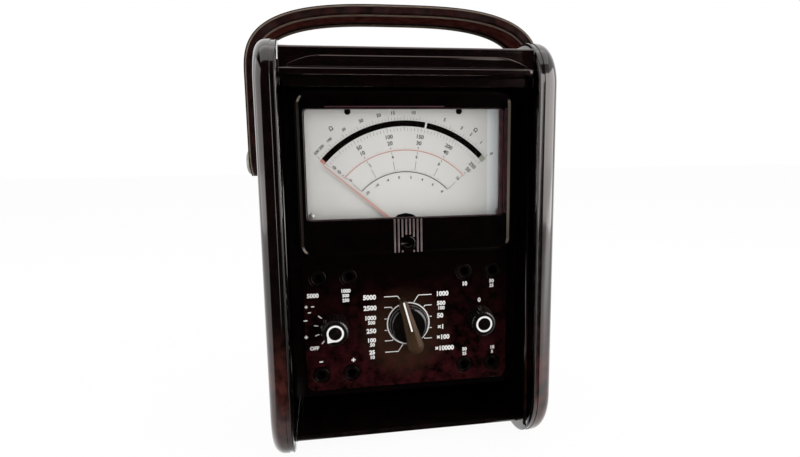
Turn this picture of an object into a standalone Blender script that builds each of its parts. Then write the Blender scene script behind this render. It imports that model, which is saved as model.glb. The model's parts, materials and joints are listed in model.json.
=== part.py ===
"""Analogue volt-ohm meter in a moulded safety case with a roll front.

Metres, +Z up. The front looks along -Y, the origin is on the floor under the middle of the case.
A depth is measured back from the front edges of the two cheeks.
"""
import math

import bmesh
import bpy

MM = 0.001

# Clearances
GAP = 0.3 * MM
RUNNING_GAP = 0.5 * MM
OVERRUN = 2.0 * MM
WELD = 0.001 * MM

# Smoothness of round shapes
SHARP_ANGLE = math.radians(35)
ARC_STEPS = 6
CIRCLE_SIDES = 24
SMALL_CIRCLE_SIDES = 16
JACK_SIDES = 12

# Driving sizes of the whole case
CASE_WIDTH = 149.2 * MM
CASE_DEPTH = 120.6 * MM
CASE_HEIGHT = 219.0 * MM

# Driving sizes of its walls and edges
CHEEK_THICKNESS = 11.3 * MM
CHEEK_TOP_RADIUS = 24.0 * MM
CHEEK_BOTTOM_RADIUS = 31.0 * MM
CHEEK_EDGE_ROUND = 2.6 * MM
BODY_WALL = 3.0 * MM
BODY_FOOT_HEIGHT = 6.0 * MM
BODY_BACK_MARGIN = 19.6 * MM
BODY_TOP_MARGIN = 16.0 * MM

# Driving sizes of the roll front's track
TRACK_INSET = 8.6 * MM
TRACK_WIDTH = 4.3 * MM
TRACK_DEPTH = 4.4 * MM
TRACK_LOW_END = 10.0 * MM

# Driving places on the instrument face, as shares of the case's height and width
FIELD_BOTTOM_SHARE = 0.15525
LOWER_JACK_SHARE = 0.19635
RANGE_SHARE = 0.31644
UPPER_JACK_SHARE = 0.44384
BEZEL_BOTTOM_SHARE = 0.49772
PIVOT_SHARE = 0.54886
SIDE_KNOB_SHARE = 0.27078

# Driving steps up, across and into the instrument face
FIELD_LIP = 0.5 * MM
WINDOW_STEP = 8.0 * MM
BEZEL_TOP_BAND = 8.7 * MM
PANEL_TOP_BAND = 9.0 * MM
JACK_INNER_STEP = 8.4 * MM
JACK_OUTER_STEP = 7.9 * MM
PANEL_SIDE_BAND = 6.0 * MM
BEZEL_SIDE_BAND = 4.4 * MM
KNOB_CLEARANCE = 1.1 * MM
KNOB_PROUD = 6.5 * MM
FIELD_SINK = 3.4 * MM
PANEL_SINK = 1.2 * MM
PANEL_THICKNESS = 3.0 * MM
DIAL_SINK = 1.1 * MM

# Driving sizes of the instrument face
FIELD_CORNER = 5.0 * MM
BEZEL_CORNER = 6.0 * MM
WINDOW_CORNER = 2.2 * MM
POINTER_HALF_SWING = math.radians(50)
RANGE_REST_ANGLE = math.radians(-15)
FUNCTION_REST_ANGLE = math.radians(-140)

# Driving sizes of the strap
STRAP_STANDOFF = 9.4 * MM
STRAP_RISE = 25.0 * MM
STRAP_SHOULDER_DROP = 14.0 * MM
STRAP_PIVOT_DROP = 60.0 * MM
STRAP_LEG_OVERHANG = 8.0 * MM
STRAP_WIDTH = 28.0 * MM
STRAP_THICKNESS = 5.5 * MM
STRAP_SQUARENESS = 3.05

# Heights that follow
FLOOR_TOP = BODY_FOOT_HEIGHT + BODY_WALL
FIELD_BOTTOM = CASE_HEIGHT * FIELD_BOTTOM_SHARE
SHELF_TOP = FIELD_BOTTOM - FIELD_LIP
SHELF_BOTTOM = SHELF_TOP - BODY_WALL
LOWER_JACK_HEIGHT = CASE_HEIGHT * LOWER_JACK_SHARE
RANGE_HEIGHT = CASE_HEIGHT * RANGE_SHARE
SIDE_KNOB_HEIGHT = RANGE_HEIGHT
UPPER_JACK_HEIGHT = CASE_HEIGHT * UPPER_JACK_SHARE
BEZEL_BOTTOM = CASE_HEIGHT * BEZEL_BOTTOM_SHARE
PIVOT_HEIGHT = CASE_HEIGHT * PIVOT_SHARE
WINDOW_BOTTOM = PIVOT_HEIGHT + WINDOW_STEP
BODY_TOP = CASE_HEIGHT - BODY_TOP_MARGIN
BEZEL_TOP = BODY_TOP - PANEL_TOP_BAND
WINDOW_TOP = BEZEL_TOP - BEZEL_TOP_BAND
STRAP_TOP = CASE_HEIGHT + STRAP_RISE
STRAP_SHOULDER_START = CASE_HEIGHT - STRAP_SHOULDER_DROP
STRAP_PIVOT_HEIGHT = CASE_HEIGHT - STRAP_PIVOT_DROP
STRAP_LOW_END = STRAP_PIVOT_HEIGHT - STRAP_LEG_OVERHANG

# Widths that follow
CHEEK_INNER_X = CASE_WIDTH / 2 - CHEEK_THICKNESS
BODY_HALF_WIDTH = CHEEK_INNER_X - GAP
FIELD_HALF_WIDTH = BODY_HALF_WIDTH - PANEL_SIDE_BAND
WINDOW_HALF_WIDTH = FIELD_HALF_WIDTH - BEZEL_SIDE_BAND
SIDE_KNOB_X = CASE_WIDTH * SIDE_KNOB_SHARE
JACK_INNER_X = SIDE_KNOB_X - JACK_INNER_STEP
JACK_OUTER_X = SIDE_KNOB_X + JACK_OUTER_STEP
STRAP_HALF_SPAN = CASE_WIDTH / 2 + STRAP_STANDOFF

# Depths that follow, behind the front edges of the cheeks
BAR_FLANGE_FRONT = TRACK_INSET + RUNNING_GAP
BAR_FLANGE_BACK = TRACK_INSET + TRACK_WIDTH - RUNNING_GAP
KNOB_FRONT_DEPTH = BAR_FLANGE_BACK + KNOB_CLEARANCE
BEZEL_DEPTH = KNOB_FRONT_DEPTH + KNOB_PROUD
FIELD_DEPTH = BEZEL_DEPTH + FIELD_SINK
PANEL_DEPTH = FIELD_DEPTH + PANEL_SINK
PANEL_BACK_DEPTH = PANEL_DEPTH + PANEL_THICKNESS
BODY_FRONT_DEPTH = PANEL_BACK_DEPTH + GAP
DIAL_DEPTH = PANEL_BACK_DEPTH + DIAL_SINK
BODY_BACK_DEPTH = CASE_DEPTH - BODY_BACK_MARGIN
FRONT_Y = -CASE_DEPTH / 2

# Orientations: an outline's x and y become X and Z, Y and Z, or X and Y
FACING_FRONT = (math.pi / 2, 0, 0)
FACING_SIDE = (math.pi / 2, 0, math.pi / 2)
LYING_FLAT = (0, 0, 0)


def depth_y(depth):
    """World Y of a depth behind the cheeks' front edges."""
    return FRONT_Y + depth


# Scene, collections and materials

def clear_scene():
    for obj in list(bpy.data.objects):
        bpy.data.objects.remove(obj, do_unlink=True)


def new_collection(name):
    collection = bpy.data.collections.new(name)
    bpy.context.scene.collection.children.link(collection)
    return collection


clear_scene()
PARTS = new_collection("multimeter")
CUTTERS = new_collection("cutters")


def material(name, colour, roughness, metallic=0.0):
    mat = bpy.data.materials.new(name)
    mat.use_nodes = True
    shader = mat.node_tree.nodes["Principled BSDF"]
    shader.inputs["Base Color"].default_value = (*colour, 1.0)
    shader.inputs["Roughness"].default_value = roughness
    shader.inputs["Metallic"].default_value = metallic
    return mat


# Modelling helpers

def arc(centre, radius, start, end, steps=ARC_STEPS):
    """Points on an arc, angles in radians counter-clockwise from the outline's +x."""
    return [
        (
            centre[0] + radius * math.cos(start + (end - start) * i / steps),
            centre[1] + radius * math.sin(start + (end - start) * i / steps),
        )
        for i in range(steps + 1)
    ]


def circle(centre, radius, sides=CIRCLE_SIDES):
    return arc(centre, radius, 0, 2 * math.pi, sides)[:-1]


def rounded_box_outline(left, right, bottom, top, low_radius, high_radius, steps=ARC_STEPS):
    """A rectangle whose two lower and two upper corners have their own radius."""
    quarter = math.pi / 2
    points = arc((right - low_radius, bottom + low_radius), low_radius, -quarter, 0, steps)
    points += arc((right - high_radius, top - high_radius), high_radius, 0, quarter, steps)
    points += arc((left + high_radius, top - high_radius), high_radius, quarter, 2 * quarter, steps)
    points += arc((left + low_radius, bottom + low_radius), low_radius, 2 * quarter, 3 * quarter, steps)
    return points


def weld(mesh):
    bm = bmesh.new()
    bm.from_mesh(mesh)
    bmesh.ops.remove_doubles(bm, verts=bm.verts, dist=WELD)
    bmesh.ops.recalc_face_normals(bm, faces=bm.faces)
    bm.to_mesh(mesh)
    bm.free()
    mesh.shade_smooth()
    mesh.set_sharp_from_angle(angle=SHARP_ANGLE)


def mesh_of_curve(name, curve):
    """The closed mesh that a curve makes; the curve itself is removed."""
    source = bpy.data.objects.new(name + "_curve", curve)
    PARTS.objects.link(source)
    depsgraph = bpy.context.evaluated_depsgraph_get()
    mesh = bpy.data.meshes.new_from_object(source.evaluated_get(depsgraph))
    mesh.name = name
    bpy.data.objects.remove(source, do_unlink=True)
    weld(mesh)
    return mesh


def place(name, mesh, location, rotation, finish, collection=None):
    obj = bpy.data.objects.new(name, mesh)
    obj.location = location
    obj.rotation_euler = rotation
    (collection or PARTS).objects.link(obj)
    if finish is not None:
        mesh.materials.clear()
        mesh.materials.append(finish)
    return obj


def outline_solid(name, loops, thickness, location, rotation, finish, edge=0.0, collection=None):
    """A flat outline, with any holes, given a thickness about its own plane."""
    curve = bpy.data.curves.new(name, "CURVE")
    curve.dimensions = "2D"
    curve.fill_mode = "BOTH"
    curve.extrude = thickness / 2 - edge
    curve.bevel_depth = edge
    curve.bevel_resolution = 1
    curve.offset = -edge
    for loop in loops:
        spline = curve.splines.new("POLY")
        spline.points.add(len(loop) - 1)
        for point, (x, y) in zip(spline.points, loop):
            point.co = (x, y, 0, 1)
        spline.use_cyclic_u = True
    return place(name, mesh_of_curve(name, curve), location, rotation, finish, collection)


def front_plate(name, loops, front, back, finish, edge=0.0, collection=None):
    """A plate parallel to the front, between two depths, with its outline in world X and Z."""
    middle = (0, depth_y((front + back) / 2), 0)
    return outline_solid(name, loops, back - front, middle, FACING_FRONT, finish, edge, collection)


def tube(name, points, radius, location, rotation, finish):
    """A round wire through points that lie in its own frame, with closed ends."""
    curve = bpy.data.curves.new(name, "CURVE")
    curve.dimensions = "3D"
    curve.bevel_depth = radius
    curve.bevel_resolution = 1
    curve.use_fill_caps = True
    spline = curve.splines.new("POLY")
    spline.points.add(len(points) - 1)
    for point, position in zip(spline.points, points):
        point.co = (*position, 1)
    return place(name, mesh_of_curve(name, curve), location, rotation, finish)


def turned(name, profile, location, rotation, finish, closed=False, sides=CIRCLE_SIDES, collection=None):
    """A turned shape: the profile's (radius, height) points run down its outer side."""
    mesh = bpy.data.meshes.new(name)
    count = len(profile)
    edges = [(i, i + 1) for i in range(count - 1)]
    if closed:
        edges.append((count - 1, 0))
    mesh.from_pydata([(radius, 0, height) for radius, height in profile], edges, [])
    obj = place(name, mesh, location, rotation, finish, collection)
    screw = obj.modifiers.new("turn", "SCREW")
    screw.angle = 2 * math.pi
    screw.steps = sides
    screw.render_steps = sides
    screw.use_merge_vertices = True
    screw.merge_threshold = WELD
    return obj


def rod_profile(radius, low, high):
    return [(0, high), (radius, high), (radius, low), (0, low)]


def facing_front_at(x, depth, z):
    return (x, depth_y(depth), z)


def box(name, low, high, finish, collection=None):
    """A box between two world corners."""
    bm = bmesh.new()
    bmesh.ops.create_cube(bm, size=1.0)
    size = [b - a for a, b in zip(low, high)]
    bmesh.ops.scale(bm, vec=size, verts=bm.verts)
    mesh = bpy.data.meshes.new(name)
    bm.to_mesh(mesh)
    bm.free()
    middle = [(a + b) / 2 for a, b in zip(low, high)]
    return place(name, mesh, middle, LYING_FLAT, finish, collection)


def boolean(target, tool, operation):
    tool.hide_render = True
    tool.display_type = "WIRE"
    modifier = target.modifiers.new(operation.lower(), "BOOLEAN")
    modifier.operation = operation
    modifier.solver = "EXACT"
    modifier.object = tool


def cut(target, tool):
    boolean(target, tool, "DIFFERENCE")


def add(target, tool):
    boolean(target, tool, "UNION")


def hole_cutter(name, x, z, radius, front, back, sides=CIRCLE_SIDES):
    """A round cutter along the depth, between two depths."""
    return turned(
        name, rod_profile(radius, -back, -front), (x, FRONT_Y, z), FACING_FRONT, None,
        sides=sides, collection=CUTTERS,
    )


# Finishes, colours as seen in the photograph
PHENOLIC = material("black_phenolic", (0.020, 0.012, 0.011), 0.18)
PANEL_PHENOLIC = material("panel_phenolic", (0.035, 0.018, 0.016), 0.28)
CURTAIN_PLASTIC = material("curtain_plastic", (0.016, 0.012, 0.012), 0.30)
STRAP_VINYL = material("strap_vinyl", (0.022, 0.016, 0.014), 0.32)
KNOB_PLASTIC = material("knob_plastic", (0.018, 0.014, 0.013), 0.22)
JACK_PLASTIC = material("jack_plastic", (0.012, 0.010, 0.010), 0.35)
CLEAR_WINDOW = material("clear_window", (0.92, 0.93, 0.92), 0.05)
DIAL_PAINT = material("dial_paint", (0.80, 0.79, 0.76), 0.55)
POINTER_RED = material("pointer_red", (0.42, 0.10, 0.07), 0.40)
NICKEL = material("nickel", (0.72, 0.70, 0.66), 0.25, 1.0)
BRASS = material("brass", (0.72, 0.55, 0.27), 0.30, 1.0)
MAGNET_STEEL = material("magnet_steel", (0.32, 0.32, 0.34), 0.45, 1.0)
SOFT_IRON = material("soft_iron", (0.45, 0.44, 0.43), 0.50, 1.0)
COPPER_WIRE = material("copper_wire", (0.70, 0.32, 0.16), 0.35, 1.0)
SPRING_BRONZE = material("spring_bronze", (0.62, 0.42, 0.22), 0.30, 1.0)
BOARD_LAMINATE = material("board_laminate", (0.30, 0.18, 0.08), 0.60)
WAFER_LAMINATE = material("wafer_laminate", (0.42, 0.28, 0.15), 0.60)
RESISTOR_BODY = material("resistor_body", (0.45, 0.30, 0.18), 0.50)
CELL_JACKET = material("cell_jacket", (0.10, 0.16, 0.30), 0.40)
TRAY_PLASTIC = material("tray_plastic", (0.05, 0.05, 0.05), 0.50)


# The track that the roll front follows round the inside of the cheeks

TRACK_MIDDLE_INSET = TRACK_INSET + TRACK_WIDTH / 2
TRACK_ARC_RADIUS = CHEEK_TOP_RADIUS - TRACK_MIDDLE_INSET
TRACK_ARC_LENGTH = TRACK_ARC_RADIUS * math.pi / 2
TRACK_TOP_LENGTH = CASE_DEPTH - 2 * CHEEK_TOP_RADIUS
TRACK_BEND_HEIGHT = CASE_HEIGHT - CHEEK_TOP_RADIUS


def track_loop(inset, low):
    """The track's line at an inset from the cheek's edge: up the front, over the top and down the back."""
    bend_y = CASE_DEPTH / 2 - CHEEK_TOP_RADIUS
    radius = CHEEK_TOP_RADIUS - inset
    quarter = math.pi / 2
    points = [(FRONT_Y + inset, low)]
    points += arc((-bend_y, TRACK_BEND_HEIGHT), radius, 2 * quarter, quarter)
    points += arc((bend_y, TRACK_BEND_HEIGHT), radius, quarter, 0)
    points.append((-FRONT_Y - inset, low))
    return points


def track_point(travel, offset):
    """A point at a distance along the track from its front bend, offset outwards from its middle."""
    bend_y = CASE_DEPTH / 2 - CHEEK_TOP_RADIUS
    radius = TRACK_ARC_RADIUS + offset
    if travel < TRACK_ARC_LENGTH:
        angle = math.pi - travel / TRACK_ARC_RADIUS
        return (-bend_y + radius * math.cos(angle), TRACK_BEND_HEIGHT + radius * math.sin(angle))
    travel -= TRACK_ARC_LENGTH
    if travel < TRACK_TOP_LENGTH:
        return (-bend_y + travel, TRACK_BEND_HEIGHT + radius)
    travel -= TRACK_TOP_LENGTH
    if travel < TRACK_ARC_LENGTH:
        angle = math.pi / 2 - travel / TRACK_ARC_RADIUS
        return (bend_y + radius * math.cos(angle), TRACK_BEND_HEIGHT + radius * math.sin(angle))
    travel -= TRACK_ARC_LENGTH
    return (bend_y + radius, TRACK_BEND_HEIGHT - travel)


# Case

STUD_BORE_RADIUS = 2.6 * MM
STUD_BORE_DEPTH = 7.5 * MM


def cheek(name, side):
    outline = rounded_box_outline(
        FRONT_Y, -FRONT_Y, 0, CASE_HEIGHT, CHEEK_BOTTOM_RADIUS, CHEEK_TOP_RADIUS, 2 * ARC_STEPS
    )
    middle_x = side * (CASE_WIDTH / 2 - CHEEK_THICKNESS / 2)
    plate = outline_solid(
        name, [outline], CHEEK_THICKNESS, (middle_x, 0, 0), FACING_SIDE, PHENOLIC, CHEEK_EDGE_ROUND
    )
    band = track_loop(TRACK_INSET, TRACK_LOW_END)
    band += reversed(track_loop(TRACK_INSET + TRACK_WIDTH, TRACK_LOW_END))
    cutter_x = side * (CHEEK_INNER_X + (TRACK_DEPTH - OVERRUN) / 2)
    cut(plate, outline_solid(
        name + "_track", [band], TRACK_DEPTH + OVERRUN, (cutter_x, 0, 0), FACING_SIDE, None,
        collection=CUTTERS,
    ))
    outer_x = CASE_WIDTH / 2
    cut(plate, turned(
        name + "_stud_bore", rod_profile(STUD_BORE_RADIUS, outer_x - STUD_BORE_DEPTH, outer_x + OVERRUN),
        (0, 0, STRAP_PIVOT_HEIGHT), (0, side * math.pi / 2, 0), None,
        sides=SMALL_CIRCLE_SIDES, collection=CUTTERS,
    ))
    return plate


FLOOR_FRONT_DEPTH = BEZEL_DEPTH + OVERRUN
BODY_CORNER_RADIUS = 9.0 * MM


def case_body():
    """Floor, shelf, back and ceiling between the cheeks, with the lead compartment under the shelf."""
    back = depth_y(BODY_BACK_DEPTH)
    inner_back = back - BODY_WALL
    front = depth_y(BODY_FRONT_DEPTH)
    nose = BODY_WALL / 2
    nose_y = depth_y(FLOOR_FRONT_DEPTH) + nose
    nose_z = BODY_FOOT_HEIGHT + nose
    quarter = math.pi / 2
    corner = BODY_CORNER_RADIUS
    outline = arc((nose_y, nose_z), nose, quarter, 3 * quarter)
    outline += arc((back - corner, BODY_FOOT_HEIGHT + corner), corner, -quarter, 0)
    outline += arc((back - corner, BODY_TOP - corner), corner, 0, quarter)
    outline += [(front, BODY_TOP), (front, BODY_TOP - BODY_WALL), (inner_back, BODY_TOP - BODY_WALL)]
    outline += [(inner_back, SHELF_TOP), (front, SHELF_TOP), (front, SHELF_BOTTOM)]
    outline += [(inner_back, SHELF_BOTTOM), (inner_back, FLOOR_TOP)]
    outline_solid(
        "case_body", [outline], 2 * BODY_HALF_WIDTH, (0, 0, 0), FACING_SIDE, PHENOLIC
    )


# Instrument panel with its raised bezel, ribbed strip and control field

BEZEL_EDGE = 1.4 * MM
FIELD_EDGE = 0.6 * MM
FIELD_SIDE_STEP = 0.5 * MM
PAD_SINK = 1.0 * MM
BEZEL_SINK = 1.6 * MM
WINDOW_LIP = 3.0 * MM
WINDOW_REBATE = 2.4 * MM
PANEL_CORNER = 1.2 * MM
RIB_COUNT = 8
RIB_PITCH = 2.05 * MM
RIB_WIDTH = 1.0 * MM
RIB_HEIGHT = 0.5 * MM
ADJUST_STEP = 5.5 * MM
ADJUST_HEIGHT = BEZEL_BOTTOM + ADJUST_STEP
ADJUST_RADIUS = 4.5 * MM
BUSHING_RADIUS = 4.7 * MM
JACK_RADIUS = 4.3 * MM
BOSS_X = 40.0 * MM
BOSS_RADIUS = 3.2 * MM
LOW_BOSS_DROP = 2.4 * MM
HIGH_BOSS_RISE = 8.2 * MM
BACKING_FRONT = DIAL_DEPTH + DIAL_SINK
HUB_POCKET_STEP = 3.1 * MM
HUB_POCKET_DEPTH = DIAL_DEPTH - HUB_POCKET_STEP
HUB_POCKET_RADIUS = 12.5 * MM
JACK_PLACES = [
    ("jack_lower_left_outer", -JACK_OUTER_X, LOWER_JACK_HEIGHT),
    ("jack_lower_left_inner", -JACK_INNER_X, LOWER_JACK_HEIGHT),
    ("jack_lower_right_inner", JACK_INNER_X, LOWER_JACK_HEIGHT),
    ("jack_lower_right_outer", JACK_OUTER_X, LOWER_JACK_HEIGHT),
    ("jack_upper_left_outer", -JACK_OUTER_X, UPPER_JACK_HEIGHT),
    ("jack_upper_left_inner", -JACK_INNER_X, UPPER_JACK_HEIGHT),
    ("jack_upper_right_inner", JACK_INNER_X, UPPER_JACK_HEIGHT),
    ("jack_upper_right_outer", JACK_OUTER_X, UPPER_JACK_HEIGHT),
]


def window_outline(growth):
    half = WINDOW_HALF_WIDTH + growth
    corner = WINDOW_CORNER + growth
    return rounded_box_outline(
        -half, half, WINDOW_BOTTOM - growth, WINDOW_TOP + growth, corner, corner, ARC_STEPS // 2
    )


def instrument_panel():
    half = FIELD_HALF_WIDTH
    base = rounded_box_outline(
        -BODY_HALF_WIDTH, BODY_HALF_WIDTH, SHELF_BOTTOM, BODY_TOP, PANEL_CORNER, PANEL_CORNER, 2
    )
    panel = front_plate("instrument_panel", [base], PANEL_DEPTH, PANEL_BACK_DEPTH, PANEL_PHENOLIC)
    field_half = half - FIELD_SIDE_STEP
    field = rounded_box_outline(
        -field_half, field_half, FIELD_BOTTOM, BEZEL_BOTTOM + 2 * BEZEL_CORNER, FIELD_CORNER, FIELD_CORNER
    )
    add(panel, front_plate(
        "control_field", [field], FIELD_DEPTH, PANEL_DEPTH + PAD_SINK, None, FIELD_EDGE, CUTTERS
    ))
    bezel = rounded_box_outline(-half, half, BEZEL_BOTTOM, BEZEL_TOP, BEZEL_CORNER, BEZEL_CORNER)
    add(panel, front_plate(
        "raised_bezel", [bezel], BEZEL_DEPTH, PANEL_DEPTH + BEZEL_SINK, None, BEZEL_EDGE, CUTTERS
    ))
    add(panel, ribbed_strip())
    for x in (-BOSS_X, BOSS_X):
        for z in (BEZEL_BOTTOM - LOW_BOSS_DROP, WINDOW_TOP + HIGH_BOSS_RISE):
            add(panel, hole_cutter(
                "panel_boss", x, z, BOSS_RADIUS, PANEL_BACK_DEPTH - PAD_SINK, BACKING_FRONT - GAP,
                SMALL_CIRCLE_SIDES,
            ))
    front = BEZEL_DEPTH - OVERRUN
    back = PANEL_BACK_DEPTH + OVERRUN
    cut(panel, front_plate("window_opening", [window_outline(0)], front, back, None, 0, CUTTERS))
    rebate_front = BEZEL_DEPTH + WINDOW_LIP
    cut(panel, front_plate(
        "window_rebate", [window_outline(WINDOW_REBATE)], rebate_front, back, None, 0, CUTTERS
    ))
    cut(panel, hole_cutter("hub_pocket", 0, PIVOT_HEIGHT, HUB_POCKET_RADIUS, HUB_POCKET_DEPTH, back))
    cut(panel, hole_cutter("adjust_hole", 0, ADJUST_HEIGHT, ADJUST_RADIUS + GAP, front, back))
    bushing_hole = BUSHING_RADIUS + GAP
    cut(panel, hole_cutter("range_hole", 0, RANGE_HEIGHT, bushing_hole, front, back))
    for x in (-SIDE_KNOB_X, SIDE_KNOB_X):
        cut(panel, hole_cutter("side_knob_hole", x, SIDE_KNOB_HEIGHT, bushing_hole, front, back))
    for name, x, z in JACK_PLACES:
        cut(panel, hole_cutter(name + "_hole", x, z, JACK_RADIUS + GAP, front, back, JACK_SIDES))


def ribbed_strip():
    """The upright ribs below the window, trimmed by the window opening."""
    low = BEZEL_BOTTOM + BEZEL_EDGE + GAP
    high = WINDOW_BOTTOM + OVERRUN
    bm = bmesh.new()
    for index in range(RIB_COUNT):
        x = (index - (RIB_COUNT - 1) / 2) * RIB_PITCH
        rib = bmesh.ops.create_cube(bm, size=1.0)["verts"]
        bmesh.ops.scale(bm, vec=(RIB_WIDTH, 2 * RIB_HEIGHT, high - low), verts=rib)
        bmesh.ops.translate(bm, vec=(x, depth_y(BEZEL_DEPTH), (low + high) / 2), verts=rib)
    mesh = bpy.data.meshes.new("ribbed_strip")
    bm.to_mesh(mesh)
    bm.free()
    return place("ribbed_strip", mesh, (0, 0, 0), LYING_FLAT, None, CUTTERS)


# Meter window, dial and screws

WINDOW_THICKNESS = 2.0 * MM
DIAL_THICKNESS = 0.8 * MM
DIAL_SIDE_MARGIN = 2.4 * MM
DIAL_TOP_MARGIN = 2.7 * MM
DIAL_HALF_WIDTH = WINDOW_HALF_WIDTH + DIAL_SIDE_MARGIN
DIAL_NOTCH_RADIUS = 10.0 * MM
DIAL_NOTCH_DROP_SHARE = 0.82
DIAL_BOTTOM = PIVOT_HEIGHT - DIAL_NOTCH_RADIUS * DIAL_NOTCH_DROP_SHARE
DIAL_TOP = WINDOW_TOP + DIAL_TOP_MARGIN
DIAL_SCREW_X = 30.0 * MM
DIAL_SCREW_DROP = 0.9 * MM
DIAL_SCREW_HEIGHT = WINDOW_TOP - DIAL_SCREW_DROP
DIAL_SCREW_HEAD = 1.7 * MM
DIAL_SCREW_SHANK = 0.8 * MM
CORNER_SCREW_MARGIN = 2.1 * MM
CORNER_SCREW_X = WINDOW_HALF_WIDTH - CORNER_SCREW_MARGIN
CORNER_SCREW_HEIGHT = WINDOW_BOTTOM + CORNER_SCREW_MARGIN
CORNER_SCREW_HEAD = 1.6 * MM
CORNER_SCREW_SHANK = 0.9 * MM
HEAD_HEIGHT = 0.9 * MM
SCREW_CROWN_SHARE = 0.7
BACKING_THICKNESS = 1.5 * MM
BACKING_SIDE_STEP = 5.0 * MM
BACKING_HALF_WIDTH = DIAL_HALF_WIDTH - BACKING_SIDE_STEP
BACKING_CLEARANCE = 0.8 * MM
BACKING_BOTTOM = UPPER_JACK_HEIGHT + JACK_RADIUS + BACKING_CLEARANCE
BACKING_TOP = BODY_TOP - 2 * BODY_WALL
BACKING_BACK = BACKING_FRONT + BACKING_THICKNESS
WINDOW_FRONT = BEZEL_DEPTH + WINDOW_LIP + GAP
WINDOW_BACK = WINDOW_FRONT + WINDOW_THICKNESS
STAFF_RADIUS = 0.8 * MM


def meter_window():
    growth = WINDOW_REBATE - GAP
    holes = [
        circle((x, CORNER_SCREW_HEIGHT), CORNER_SCREW_SHANK + GAP, SMALL_CIRCLE_SIDES)
        for x in (-CORNER_SCREW_X, CORNER_SCREW_X)
    ]
    front_plate("meter_window", [window_outline(growth), *holes], WINDOW_FRONT, WINDOW_BACK, CLEAR_WINDOW)


def dial_plate():
    outline = rounded_box_outline(
        -DIAL_HALF_WIDTH, DIAL_HALF_WIDTH, DIAL_BOTTOM, DIAL_TOP, WINDOW_CORNER, WINDOW_CORNER, 2
    )
    notch_angle = math.asin((DIAL_BOTTOM - PIVOT_HEIGHT) / DIAL_NOTCH_RADIUS)
    notch = arc((0, PIVOT_HEIGHT), DIAL_NOTCH_RADIUS, notch_angle, math.pi - notch_angle, 2 * ARC_STEPS)
    holes = [
        circle((x, DIAL_SCREW_HEIGHT), DIAL_SCREW_SHANK + GAP, SMALL_CIRCLE_SIDES)
        for x in (-DIAL_SCREW_X, DIAL_SCREW_X)
    ]
    back = DIAL_DEPTH + DIAL_THICKNESS
    front_plate("dial_plate", [outline + list(reversed(notch)), *holes], DIAL_DEPTH, back, DIAL_PAINT)


def screw(name, x, z, head_radius, shank_radius, seat_depth, shank_end, finish):
    front = seat_depth - HEAD_HEIGHT
    crown = head_radius * SCREW_CROWN_SHARE
    profile = [
        (0, -front), (crown, -front), (head_radius, -front - HEAD_HEIGHT / 2),
        (head_radius, -seat_depth + GAP / 2), (shank_radius, -seat_depth + GAP / 2),
        (shank_radius, -shank_end), (0, -shank_end),
    ]
    return turned(name, profile, (x, FRONT_Y, z), FACING_FRONT, finish, sides=SMALL_CIRCLE_SIDES)


def face_screws():
    for side, x in (("left", -1), ("right", 1)):
        screw(
            "dial_screw_" + side, x * DIAL_SCREW_X, DIAL_SCREW_HEIGHT, DIAL_SCREW_HEAD,
            DIAL_SCREW_SHANK, DIAL_DEPTH - GAP / 2, BACKING_BACK, NICKEL,
        )
        screw(
            "window_screw_" + side, x * CORNER_SCREW_X, CORNER_SCREW_HEIGHT, CORNER_SCREW_HEAD,
            CORNER_SCREW_SHANK, WINDOW_FRONT - GAP / 2, WINDOW_BACK + GAP, NICKEL,
        )


# Moving-coil movement behind the dial

POLE_LENGTH = 20.0 * MM
POLE_HALF_GAP = 2.5 * MM
POLE_OUTER = 17.0 * MM
POLE_HALF_HEIGHT = 12.0 * MM
POLE_BORE = 10.3 * MM
MAGNET_OUTER = 24.0 * MM
MAGNET_BASE_TOP = 13.0 * MM
MAGNET_BASE_BOTTOM = 18.6 * MM
CORE_RADIUS = 8.0 * MM
CORE_LENGTH = 11.0 * MM
COIL_INNER = 8.6 * MM
COIL_OUTER = 9.6 * MM
COIL_INNER_LENGTH = 13.0 * MM
COIL_END_THICKNESS = 1.5 * MM
COIL_HEIGHT = 3.2 * MM
BRIDGE_RISE = 1.6 * MM
BRIDGE_HEIGHT = 8.0 * MM
POINTER_STANDOFF = 1.8 * MM
POINTER_DEPTH = DIAL_DEPTH - POINTER_STANDOFF
POINTER_THICKNESS = 0.5 * MM
POINTER_REACH_MARGIN = 8.1 * MM
POINTER_LENGTH = WINDOW_TOP - PIVOT_HEIGHT - POINTER_REACH_MARGIN
POINTER_ROOT_WIDTH = 1.6 * MM
POINTER_TIP_WIDTH = 0.45 * MM
POINTER_TAIL = 5.0 * MM
POINTER_HUB = 2.6 * MM
HAIRSPRING_TURNS = 3
HAIRSPRING_INNER = 1.9 * MM
HAIRSPRING_OUTER = 6.2 * MM
HAIRSPRING_WIRE = 0.16 * MM
MOVEMENT_FRONT = BACKING_BACK + GAP
MOVEMENT_BACK = MOVEMENT_FRONT + POLE_LENGTH
MOVEMENT_MIDDLE = (MOVEMENT_FRONT + MOVEMENT_BACK) / 2


def centred_front_plate(name, loops, front, back, finish, turn=0.0, edge=0.0):
    """A plate whose own origin, and outline centre, lie on the movement's pivot axis."""
    middle = (0, depth_y((front + back) / 2), PIVOT_HEIGHT)
    rotation = (math.pi / 2, turn, 0)
    return outline_solid(name, loops, back - front, middle, rotation, finish, edge)


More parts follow.
